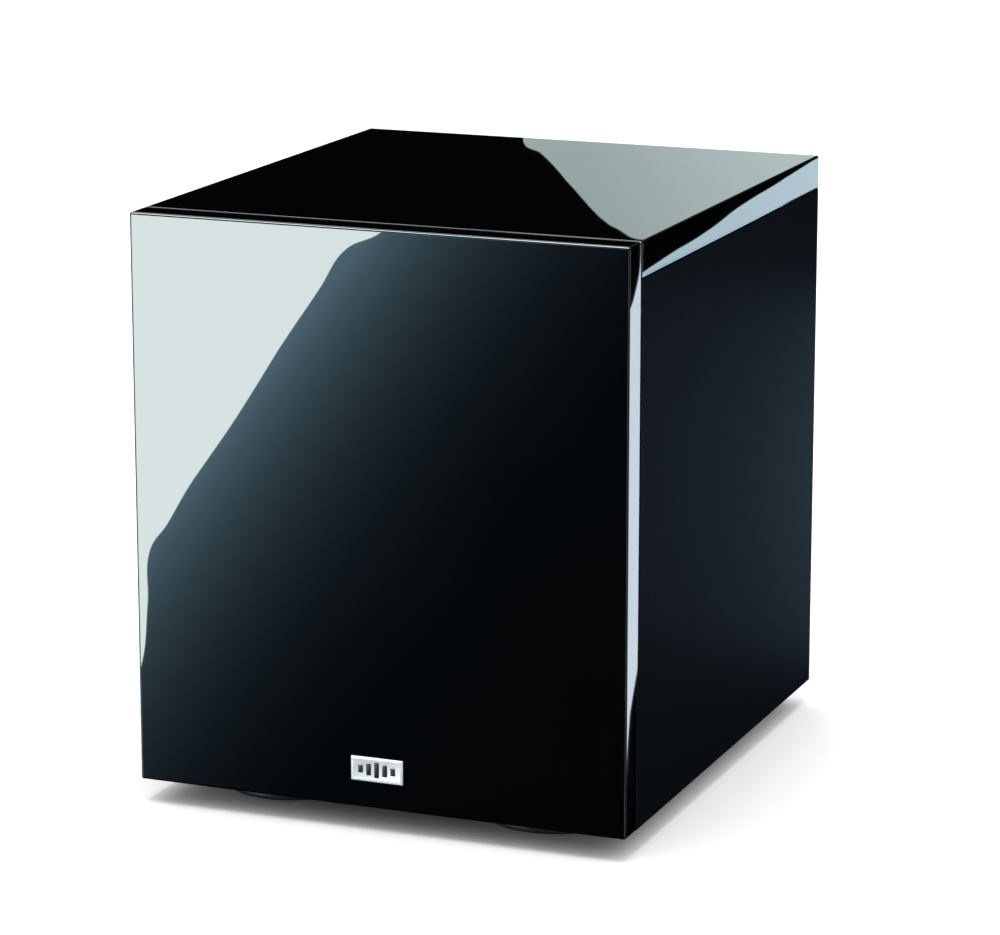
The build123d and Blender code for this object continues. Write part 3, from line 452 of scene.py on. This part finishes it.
def pick(piece, wanted):
    """In edit mode, only the vertices whose place passes the test are selected."""
    bpy.ops.object.mode_set(mode="EDIT")
    bpy.ops.mesh.select_mode(type="VERT")
    bpy.ops.mesh.select_all(action="DESELECT")
    bpy.ops.object.mode_set(mode="OBJECT")
    for vertex in piece.data.vertices:
        vertex.select = wanted(vertex.co)
    bpy.ops.object.mode_set(mode="EDIT")


def finish_piece(piece, body, material, record_slot, *stands_for, smooth=None):
    clear_selection()
    piece.select_set(True)
    bpy.context.view_layer.objects.active = piece
    if smooth:
        bpy.ops.object.shade_smooth_by_angle(angle=math.radians(smooth))
    piece.data.materials.clear()
    piece.data.materials.append(material)
    if stands_for:
        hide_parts(*stands_for)
    if body:
        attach(piece, body)
    return piece


def join(name, pieces):
    clear_selection()
    for piece in pieces:
        piece.select_set(True)
    bpy.context.view_layer.objects.active = pieces[0]
    bpy.ops.object.join()
    pieces[0].name = name
    return pieces[0]


# ---- badge ----
badge_border = 0.0007
badge_frame_w = 0.0012
badge_sink = 0.0005
badge_rim_drop = 0.0006
bar_heights = (0.0052, 0.0080, 0.0106, 0.0080, 0.0052)
bar_pitch = 0.0058
bar_half_w = 0.0017
bar_depth = (0.0001, 0.0007)


def make_badge():
    """A bevelled plate with a sunk field, and five upright bars standing in the field."""
    low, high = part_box("badge_plate")
    plate = block("badge", low, high)
    bpy.ops.object.mode_set(mode="EDIT")
    bpy.ops.mesh.select_all(action="DESELECT")
    bpy.ops.object.mode_set(mode="OBJECT")
    for face in plate.data.polygons:
        face.select = face.normal.y < -0.5
    bpy.ops.object.mode_set(mode="EDIT")
    bpy.ops.mesh.inset(thickness=badge_border)
    bpy.ops.mesh.inset(thickness=badge_frame_w)
    bpy.ops.mesh.extrude_region_move(TRANSFORM_OT_translate={"value": (0, badge_sink, 0)})
    bpy.ops.object.mode_set(mode="OBJECT")
    pick(plate, lambda co: co.y < low.y + 1e-5 and on_rim(co, low, high))
    bpy.ops.transform.translate(value=(0, badge_rim_drop, 0))
    bpy.ops.object.mode_set(mode="OBJECT")
    ease(plate, 0.00012)
    finish_piece(plate, "cabinet", badge_silver(), "badge_silver", "badge_plate", smooth=30)
    dark = moulded("badge_bars", (0.012, 0.02, 0.027), 0.35, depth=0.00002)
    middle = (low + high) / 2
    bars = []
    for index, height in enumerate(bar_heights):
        x = middle.x + (index - 2) * bar_pitch
        bars.append(block("badge_bars", (x - bar_half_w, low.y + bar_depth[0], middle.z - height / 2),
                          (x + bar_half_w, low.y + bar_depth[1], middle.z + height / 2), 0.00025))
    finish_piece(join("badge_bars", bars), "cabinet", dark, "badge_silver", smooth=30)


def on_rim(co, low, high):
    rim = 1e-5
    at_side = abs(co.x - low.x) < rim or abs(co.x - high.x) < rim
    at_end = abs(co.z - low.z) < rim or abs(co.z - high.z) < rim
    return at_side or at_end


# ---- driver's soft parts ----
rim_land = 0.0045
roll_w = 0.014
cone_lap = 0.004
roll_fillet = 0.0006
roll_steps = 20
spider_inner_r = 0.02505
spider_rolls = 5
spider_land = 0.004
spider_wave = 0.0013
lead_r = 0.0008
lead_turns = (30, 210)


def round_sheet(name, centre, outline, thickness, sides=128):
    """A sheet turned about Z, drawn out ring by ring through points of radius and height."""
    clear_selection()
    x, y = centre
    first_r, first_z = outline[0]
    bpy.ops.mesh.primitive_circle_add(vertices=sides, radius=first_r, location=(x, y, first_z))
    piece = bpy.context.object
    piece.name = name
    settle(piece)
    bpy.ops.object.mode_set(mode="EDIT")
    bpy.ops.mesh.select_all(action="SELECT")
    for (r0, z0), (r1, z1) in zip(outline, outline[1:]):
        bpy.ops.mesh.extrude_region_move(TRANSFORM_OT_translate={"value": (0, 0, z1 - z0)})
        bpy.ops.transform.resize(value=(r1 / r0, r1 / r0, 1), center_override=(x, y, z1))
    bpy.ops.mesh.select_all(action="SELECT")
    bpy.ops.mesh.normals_make_consistent(inside=False)
    bpy.ops.object.mode_set(mode="OBJECT")
    wall = piece.modifiers.new("wall", "SOLIDIFY")
    wall.thickness = thickness
    wall.offset = 0.0
    bpy.ops.object.modifier_apply(modifier=wall.name)
    return piece


def flex(piece, inner_r, outer_r):
    """The piece follows the cone at its inner radius and the cabinet at its outer one."""
    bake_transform(piece, "cone_assembly", "cabinet", (driver_x + inner_r, driver_y, 0),
             (driver_x + outer_r, driver_y, 0))
    weights = piece.data.attributes["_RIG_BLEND"].data
    for vertex, weight in zip(piece.data.vertices, weights):
        reach = math.hypot(vertex.co.x - driver_x, vertex.co.y - driver_y)
        share = min(max((reach - inner_r) / (outer_r - inner_r), 0.0), 1.0)
        weight.value = share * share * (3 - 2 * share)


def make_surround():
    """A half roll that bulges downwards between the cone's lip and the basket's rim."""
    low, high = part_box("driver_surround")
    outer_r = (high.x - low.x) / 2
    seat = high.z - 0.0005
    roll_out = outer_r - rim_land
    roll_in = roll_out - roll_w
    sag = high.z - low.z - 0.001
    outline = [(roll_in - cone_lap, seat), (roll_in - roll_fillet, seat)]
    middle = (roll_in + roll_out) / 2
    for i in range(roll_steps + 1):
        angle = math.pi * i / roll_steps
        reach = middle - math.cos(angle) * (roll_out - roll_in) / 2
        outline.append((reach, seat - math.sin(angle) * sag))
    outline += [(roll_out + roll_fillet, seat), (outer_r, seat)]
    piece = round_sheet("surround_roll", (driver_x, driver_y), outline, 0.001)
    finish_piece(piece, None, rubber("surround_rubber", (0.018, 0.018, 0.019), 0.6), "surround_rubber",
                 "driver_surround", smooth=50)
    flex(piece, roll_in, roll_out)


def make_spider():
    """A corrugated cloth ring between the former and the basket."""
    low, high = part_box("driver_spider")
    outer_r = (high.x - low.x) / 2
    middle = (low.z + high.z) / 2
    wide = (outer_r - spider_land - spider_inner_r) / spider_rolls
    outline = [(spider_inner_r, middle)]
    for roll in range(spider_rolls):
        way = -1 if roll % 2 else 1
        for i in range(1, 7):
            rise = way * math.sin(math.pi * i / 6) * spider_wave
            outline.append((spider_inner_r + wide * (roll + i / 6), middle + rise))
    outline.append((outer_r, middle))
    piece = round_sheet("spider_cloth", (driver_x, driver_y), outline, 0.0006, 96)
    cloth = woven("spider_cloth", (0.3, 0.17, 0.04), (0.6, 0.4, 0.15), 500.0, (driver_x, driver_y, 0))
    finish_piece(piece, None, cloth, "spider_cloth", "driver_spider", smooth=50)
    flex(piece, spider_inner_r, outer_r - spider_land)


def make_leads():
    """Two braided leads, each an arch that rises behind the cone and comes down at the basket's wall."""
    low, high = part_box("tinsel_leads")
    braid = woven("lead_braid", (0.3, 0.13, 0.05), (0.75, 0.42, 0.2), 1400.0, (driver_x, driver_y, 0))
    far = (high.x - driver_x - lead_r) / math.cos(math.radians(lead_turns[0]))
    arch = high.z - low.z - lead_r
    for number, turn in enumerate(lead_turns, 1):
        clear_selection()
        way = Vector((math.cos(math.radians(turn)), math.sin(math.radians(turn)), 0))
        near = far - 2 * arch
        centre = Vector((driver_x, driver_y, low.z)) + way * ((near + far) / 2)
        start = Vector((driver_x, driver_y, low.z)) + way * near
        bpy.ops.mesh.primitive_circle_add(vertices=12, radius=lead_r, location=start)
        piece = bpy.context.object
        piece.name = f"tinsel_lead_{number}"
        settle(piece)
        bpy.ops.object.mode_set(mode="EDIT")
        bpy.ops.mesh.select_all(action="SELECT")
        bpy.ops.mesh.spin(steps=24, angle=math.pi, center=centre, axis=(way.y, -way.x, 0))
        bpy.ops.mesh.select_all(action="SELECT")
        bpy.ops.mesh.remove_doubles(threshold=1e-6)
        bpy.ops.mesh.select_all(action="DESELECT")
        bpy.ops.mesh.select_mode(type="EDGE")
        bpy.ops.mesh.select_non_manifold()
        bpy.ops.mesh.edge_face_add()
        bpy.ops.mesh.select_all(action="SELECT")
        bpy.ops.mesh.normals_make_consistent(inside=False)
        bpy.ops.object.mode_set(mode="OBJECT")
        stands_for = ("tinsel_leads",) if number == 1 else ()
        finish_piece(piece, None, braid, "copper", *stands_for, smooth=50)
        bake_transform(piece, "cone_assembly", "cabinet", start, start + way * (far - near))


# ---- printing and marks on the amplifier plate ----
ink_rise = 0.00002
tick_start_r = 0.0112
tick_end_r = 0.0132
long_tick_end_r = 0.0142
figure_r = 0.0172
switch_mark_rise = 0.0035
mode_steps = (0, 0.003, 0.006)
pointer_half_w = 0.00042
pointer_reach = (0.0031, 0.0075)
pointer_depth = (0.00055, 0.00012)


def print_ink():
    material, tree, shader = new_material("print_ink", (0.75, 0.76, 0.76), 0.6, specular=0.3)
    wear = noise(tree, surface_point(tree), 500.0, 4.0)
    paint(tree, shader, wear, (0.55, 0.56, 0.56), (0.8, 0.81, 0.81), 0.35, 0.6)
    bump(tree, shader, wear, 0.2, 0.00003)
    return material


def printed_number(text, x, z, size=0.0034):
    """Figures on the plate, read from behind the cabinet."""
    clear_selection()
    place = (x, plate_high.y + ink_rise, z)
    bpy.ops.object.text_add(location=place, rotation=(math.radians(90), 0, math.pi))
    figure = bpy.context.object
    figure.data.body = text
    figure.data.size = size
    figure.data.align_x = "CENTER"
    figure.data.align_y = "CENTER"
    figure.data.extrude = 0.00003
    bpy.ops.object.convert(target="MESH")
    return settle(bpy.context.object)


def printed_bar(a, b, width=0.0005):
    """A thin printed line between two points of x and z on the plate."""
    clear_selection()
    a, b = Vector((a[0], 0, a[1])), Vector((b[0], 0, b[1]))
    middle = (a + b) / 2
    bpy.ops.mesh.primitive_cube_add(size=1, location=(middle.x, plate_high.y + ink_rise, middle.z))
    bar = bpy.context.object
    bar.scale = ((b - a).length, 0.00006, width)
    bar.rotation_euler = (0, -math.atan2(b.z - a.z, b.x - a.x), 0)
    settle(bar)
    ease(bar, 0.00002, 1)
    return bar


def dial_marks(knob, figures):
    """Eleven ticks round a knob, with figures at some of them."""
    low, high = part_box(knob)
    x, z = (low.x + high.x) / 2, (low.z + high.z) / 2
    marks = []
    for step in range(11):
        angle = math.radians(-150 + 30 * step)
        way = (-math.sin(angle), math.cos(angle))
        end_r = long_tick_end_r if step in (0, 5, 10) else tick_end_r
        start, end = [(x + way[0] * r, z + way[1] * r) for r in (tick_start_r, end_r)]
        marks.append(printed_bar(start, end))
        if step in figures:
            marks.append(printed_number(figures[step], x + way[0] * figure_r, z + way[1] * figure_r))
    return marks


def frame_line(low, high):
    """A printed rectangle between two corners of x and z."""
    corners = [(low[0], low[1]), (high[0], low[1]), (high[0], high[1]), (low[0], high[1])]
    return [printed_bar(a, b, 0.0004) for a, b in zip(corners, corners[1:] + corners[:1])]


def make_plate_print():
    """Both dials, the marks over the two switches and the frame round the line inputs."""
    marks = dial_marks("volume_knob", {0: "0", 5: "5", 10: "10"})
    marks += dial_marks("crossover_knob", {0: "50", 5: "100", 10: "150"})
    low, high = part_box("phase_switch")
    x, z = (low.x + high.x) / 2, high.z + switch_mark_rise
    marks += [printed_number("0", x + 0.0062, z), printed_number("180", x - 0.0022, z)]
    low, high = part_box("mode_switch")
    x = (low.x + high.x) / 2
    for way in mode_steps:
        marks.append(printed_bar((x + way, z - 0.001), (x + way, z + 0.0012)))
    jack_low, jack_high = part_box("rca_jacks")
    marks += frame_line(
        (jack_low.x - 0.003, jack_low.z - 0.004), (jack_high.x + 0.0025, jack_high.z + 0.004)
    )
    print_piece = join("plate_print", marks)
    finish_piece(print_piece, "cabinet", print_ink(), "amp_paint")


def make_pointers():
    """A white line laid in the groove of each knob."""
    ink = moulded("pointer_white", (0.8, 0.8, 0.79), 0.45, depth=0.00003)
    for knob, body in (("volume_knob", "volume_control"), ("crossover_knob", "crossover_control")):
        low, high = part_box(knob)
        x, z = (low.x + high.x) / 2, (low.z + high.z) / 2
        line = block(
            f"{body}_pointer",
            (x - pointer_half_w, high.y - pointer_depth[0], z + pointer_reach[0]),
            (x + pointer_half_w, high.y - pointer_depth[1], z + pointer_reach[1]),
            0.0001,
        )
        finish_piece(line, body, ink, "knob_plastic", smooth=30)


# ---- studio ----
ring_r = 2.6
spill_fall_across = -19.0
spill_rise_up = 14.0
spill_cap = 0.4
spill_gain = 1.7
spill_floor = 0.008


def emission(name, colour, strength):
    material = bpy.data.materials.new(name)
    material.use_nodes = True
    tree = material.node_tree
    tree.nodes.clear()
    output = add_node(tree, "ShaderNodeOutputMaterial")
    light = add_node(tree, "ShaderNodeEmission", strength=strength)
    light.inputs["Color"].default_value = (*colour, 1)
    tree.links.new(light.outputs["Emission"], output.inputs["Surface"])
    material.cycles.emission_sampling = "NONE"
    return material, tree, light


def mirrored_eye(axis, level):
    eye = camera_place.copy()
    eye[axis] = 2 * level - eye[axis]
    return eye


def cast(eye, point, depth):
    """Where the line from eye through point meets the upright plane y = depth."""
    share = (depth - eye.y) / (point.y - eye.y)
    return eye + (point - eye) * share


def card(name, depth, outline, material, smooth_points=0, turn=0.0, flat=False):
    """A card that gloss mirrors and nothing else sees, with an outline of x and z.

    It stands at y = depth before it is turned about the cabinet. A flat card lies at z = depth."""
    clear_selection()
    place = (0, 0, depth) if flat else (-math.sin(turn) * depth, math.cos(turn) * depth, 0)
    tilt = 0 if flat else math.radians(90)
    bpy.ops.curve.primitive_bezier_curve_add(location=place, rotation=(tilt, 0, turn))
    piece = bpy.context.object
    piece.name = name
    piece.data.dimensions = "2D"
    piece.data.fill_mode = "BOTH"
    spline = piece.data.splines[0]
    spline.bezier_points.add(len(outline) - 2)
    for index, (point, (x, z)) in enumerate(zip(spline.bezier_points, outline)):
        point.co = (x, z, 0)
        kind = "AUTO" if 0 < index < smooth_points - 1 else "VECTOR"
        point.handle_left_type = kind
        point.handle_right_type = kind
    spline.use_cyclic_u = True
    piece.data.materials.append(material)
    piece.visible_camera = False
    piece.visible_diffuse = False
    piece.visible_shadow = False
    piece.visible_transmission = False
    piece.visible_volume_scatter = False


def mirrored_card(name, axis, level, depth, edge, corners, material):
    """A card placed so that the camera sees it mirrored in a face: one side is a smooth curve."""
    eye = mirrored_eye(axis, level)
    spots = [cast(eye, Vector(point), depth) for point in [*edge, *corners]]
    card(name, depth, [(spot.x, spot.z) for spot in spots], material, len(edge))


def front_softbox():
    """The large box at the left, with a sloping edge."""
    left = front_low.x - 0.02
    y = front_low.y
    top = front_high.z + 0.02
    edge = [
        (0.03, y, top), (0.004, y, 0.4035), (-0.02, y, 0.391), (-0.038, y, 0.365), (-0.066, y, 0.325),
        (-0.09, y, 0.288), (-0.112, y, 0.256), (-0.135, y, 0.224), (-0.152, y, 0.196),
        (-0.1645, y, 0.178), (-0.1675, y, 0.14), (-0.1735, y, 0.095), (left, y, 0.05),
    ]
    material, _, _ = emission("softbox", (0.885, 1.0, 1.0), 16.0)
    mirrored_card("front_softbox", 1, y, -1.3, edge, [(left, y, top)], material)


def front_spill():
    """The dim bluish spill beside the box, fading to the lower right."""
    depth = -1.45
    y = front_low.y
    material, tree, light = emission("spill", (0.55, 0.95, 1.2), 1.0)
    eye = mirrored_eye(1, y)
    scale = (depth - eye.y) / (y - eye.y)
    start = cast(eye, Vector((-0.06, y, 0.30)), depth)
    card("front_spill", depth, [(-0.9, -1.4), (1.2, -1.4), (1.2, 0.6), (-0.9, 0.6)], material)
    place = surface_point(tree, centre=(start.x, start.z, 0), stretch=(scale, scale, 1))
    parts = add_node(tree, "ShaderNodeSeparateXYZ")
    tree.links.new(place, parts.inputs["Vector"])
    across = add_node(tree, "ShaderNodeMath", operation="MULTIPLY")
    across.inputs[1].default_value = spill_fall_across
    tree.links.new(parts.outputs["X"], across.inputs[0])
    down = add_node(tree, "ShaderNodeMath", operation="MULTIPLY_ADD")
    down.inputs[1].default_value = spill_rise_up
    tree.links.new(parts.outputs["Y"], down.inputs[0])
    tree.links.new(across.outputs[0], down.inputs[2])
    capped = add_node(tree, "ShaderNodeMath", operation="MINIMUM")
    capped.inputs[1].default_value = spill_cap
    tree.links.new(down.outputs[0], capped.inputs[0])
    fade = add_node(tree, "ShaderNodeMath", operation="EXPONENT")
    tree.links.new(capped.outputs[0], fade.inputs[0])
    gain = add_node(tree, "ShaderNodeMath", operation="MULTIPLY_ADD")
    gain.inputs[1].default_value = spill_gain
    gain.inputs[2].default_value = spill_floor
    tree.links.new(fade.outputs[0], gain.inputs[0])
    tree.links.new(gain.outputs[0], light.inputs["Strength"])


def rear_softbox():
    """The box behind the object that the top mirrors at a low angle."""
    z = top_high.z
    back = top_high.y + 0.03
    right = top_high.x + 0.1
    depth = 1.9
    edge = [
        (-0.06, back, z), (-0.045, 0.172, z), (-0.011, 0.122, z), (0.058, 0.0, z), (0.127, -0.121, z),
        (0.152, -0.155, z), (0.165, -0.172, z), (0.178, -0.178, z),
    ]
    material, tree, light = emission("rear_softbox", (0.82, 1.0, 0.99), 1.1)
    parts = add_node(tree, "ShaderNodeSeparateXYZ")
    tree.links.new(surface_point(tree), parts.inputs["Vector"])
    clouds = noise(tree, surface_point(tree), 3.0, 2.0)
    span = add_node(tree, "ShaderNodeMapRange", from_min=-0.65, from_max=-0.4, to_min=0.84, to_max=1.14)
    tree.links.new(parts.outputs["X"], span.inputs["Value"])
    cloudy = add_node(tree, "ShaderNodeMath", operation="MULTIPLY_ADD")
    cloudy.inputs[1].default_value = 0.12
    tree.links.new(clouds, cloudy.inputs[0])
    tree.links.new(span.outputs["Result"], cloudy.inputs[2])
    tree.links.new(cloudy.outputs[0], light.inputs["Strength"])
    mirrored_card("rear_softbox", 2, z, depth, edge, [(right, -0.178, z), (right, back, z)], material)


def side_softboxes():
    """The boxes beyond the right side: in the front board's edge, the top board's edge and the foil."""
    x = side_high.x
    seam = front_high.y
    strip = [
        (x, -0.25, 0.35), (x, front_low.y, 0.366), (x, -0.193, 0.377), (x, seam - 0.0036, 0.388),
        (x, seam - 0.0032, 0.42),
    ]
    corners = [
        (x, seam, 0.42), (x, seam, 0.13), (x, -0.198, 0.1), (x, front_low.y, 0.06), (x, -0.25, 0.04),
    ]
    material, _, _ = emission("edge_softbox", (0.92, 1.05, 1.18), 3.3)
    mirrored_card("edge_softbox", 0, x, 1.6, strip, corners, material)
    band = [
        (x, seam, 0.3855), (x, -0.144, 0.388), (x, -0.05, 0.392), (x, 0.006, 0.397), (x, 0.102, 0.401),
        (x, 0.25, 0.408),
    ]
    material, _, _ = emission("band_softbox", (0.62, 0.8, 0.89), 3.2)
    mirrored_card("band_softbox", 0, x, 1.6, band, [(x, 0.25, 0.372), (x, seam, 0.372)], material)
    patch = [(x, 0.11, 0.06), (x, 0.14, 0.25), (x, 0.3, 0.29), (x, 0.45, 0.16), (x, 0.3, 0.0)]
    material, _, _ = emission("foil_softbox", (0.5, 0.84, 1.15), 6.5)
    mirrored_card("foil_softbox", 0, x, 0.6, patch, [], material)


def high_card():
    """A bright card high in front, which draws a fine line along the rounded upper edges."""
    material, _, _ = emission("high_card", (0.9, 0.98, 1.0), 26.0)
    outline = [(-1.6, -1.35), (1.6, -1.35), (1.6, -0.5), (-1.6, -0.5)]
    card("high_card", 2.2, outline, material, flat=True)


def ring_of_cards():
    """Soft cards round the cabinet: grey ones that fade downwards at the back and sides, and one on each
    side of the front that is brightest at one edge and fades across."""
    for number, (turn, half) in enumerate(((0, 0.5), (45, 0.75), (-45, 0.75), (90, 0.7), (-90, 0.4))):
        material, tree, light = emission(f"grey_card_{number}", (0.9, 0.96, 1.0), 0.7)
        height = add_node(tree, "ShaderNodeSeparateXYZ")
        tree.links.new(surface_point(tree), height.inputs["Vector"])
        fade = add_node(tree, "ShaderNodeMapRange", from_min=-1.2, from_max=0.1, to_min=0.1, to_max=0.9)
        tree.links.new(height.outputs["Y"], fade.inputs["Value"])
        tree.links.new(fade.outputs["Result"], light.inputs["Strength"])
        outline = [(-half, -1.3), (half, -1.3), (half, 0.25), (-half, 0.25)]
        card(f"grey_card_{number}", ring_r, outline, material, turn=math.radians(turn))
    for number, turn in enumerate((135, -135)):
        material, tree, light = emission(f"strip_card_{number}", (0.9, 0.98, 1.0), 3.0)
        across = add_node(tree, "ShaderNodeSeparateXYZ")
        tree.links.new(surface_point(tree), across.inputs["Vector"])
        side = -1 if turn > 0 else 1
        fade = add_node(tree, "ShaderNodeMapRange", interpolation_type="SMOOTHERSTEP",
                        from_min=side * -0.16, from_max=side * 0.24, to_min=0.02, to_max=6.5)
        tree.links.new(across.outputs["X"], fade.inputs["Value"])
        tree.links.new(fade.outputs["Result"], light.inputs["Strength"])
        outline = [(side * x, z) for x, z in ((0.3, -1.2), (0.3, 0.3), (-0.3, 0.3), (-0.3, -1.2))]
        card(f"strip_card_{number}", ring_r, outline, material, turn=math.radians(turn))


def panel_light(name, place, aim, size, power):
    data = bpy.data.lights.new(name, "AREA")
    data.size = size
    data.energy = power
    lamp = bpy.data.objects.new(name, data)
    bpy.context.scene.collection.objects.link(lamp)
    lamp.location = place
    lamp.rotation_euler = (Vector(aim) - Vector(place)).to_track_quat("-Z", "Y").to_euler()
    return lamp


def add_lights():
    middle = (0, 0, 0.2)
    panel_light("overhead", (0.0, -0.3, 2.6), middle, 1.6, 40)
    panel_light("rear_key", (-1.7, 2.4, 2.2), middle, 2.0, 26)
    panel_light("rear_fill", (1.9, 2.2, 2.0), middle, 2.0, 16)


def add_floor():
    clear_selection()
    bpy.ops.mesh.primitive_plane_add(size=40, location=(0, 0, 0))
    floor = bpy.context.object
    floor.name = "floor"
    floor.visible_glossy = False
    material, _, _ = new_material("pale_floor", (0.975, 0.975, 0.975), 0.9, specular=0.0)
    floor.data.materials.append(material)


def add_world():
    """White for the eye and for soft light; gloss sees a dome, dark low down and brighter overhead."""
    world = bpy.data.worlds.new("studio")
    bpy.context.scene.world = world
    world.use_nodes = True
    tree = world.node_tree
    background = tree.nodes["Background"]
    parts = add_node(tree, "ShaderNodeSeparateXYZ")
    tree.links.new(add_node(tree, "ShaderNodeTexCoord").outputs["Generated"], parts.inputs["Vector"])
    dome = ramp(tree, parts.outputs["Z"], [(0.0, 0.0005), (0.3, 0.001), (0.6, 0.5), (0.95, 0.9)])
    mix = add_node(tree, "ShaderNodeMix", data_type="RGBA")
    path = add_node(tree, "ShaderNodeLightPath")
    tree.links.new(path.outputs["Is Glossy Ray"], mix.inputs["Factor"])
    mix.inputs[6].default_value = (1, 1, 1, 1)
    tree.links.new(dome, mix.inputs[7])
    tree.links.new(mix.outputs[2], background.inputs["Color"])
    background.inputs["Strength"].default_value = 1.0


add_camera()
finish_nodes()
make_badge()
make_surround()
make_spider()
make_leads()
make_plate_print()
make_pointers()
front_softbox()
front_spill()
rear_softbox()
side_softboxes()
high_card()
ring_of_cards()
add_lights()
add_floor()
add_world()
bpy.context.scene.view_settings.view_transform = "Standard"
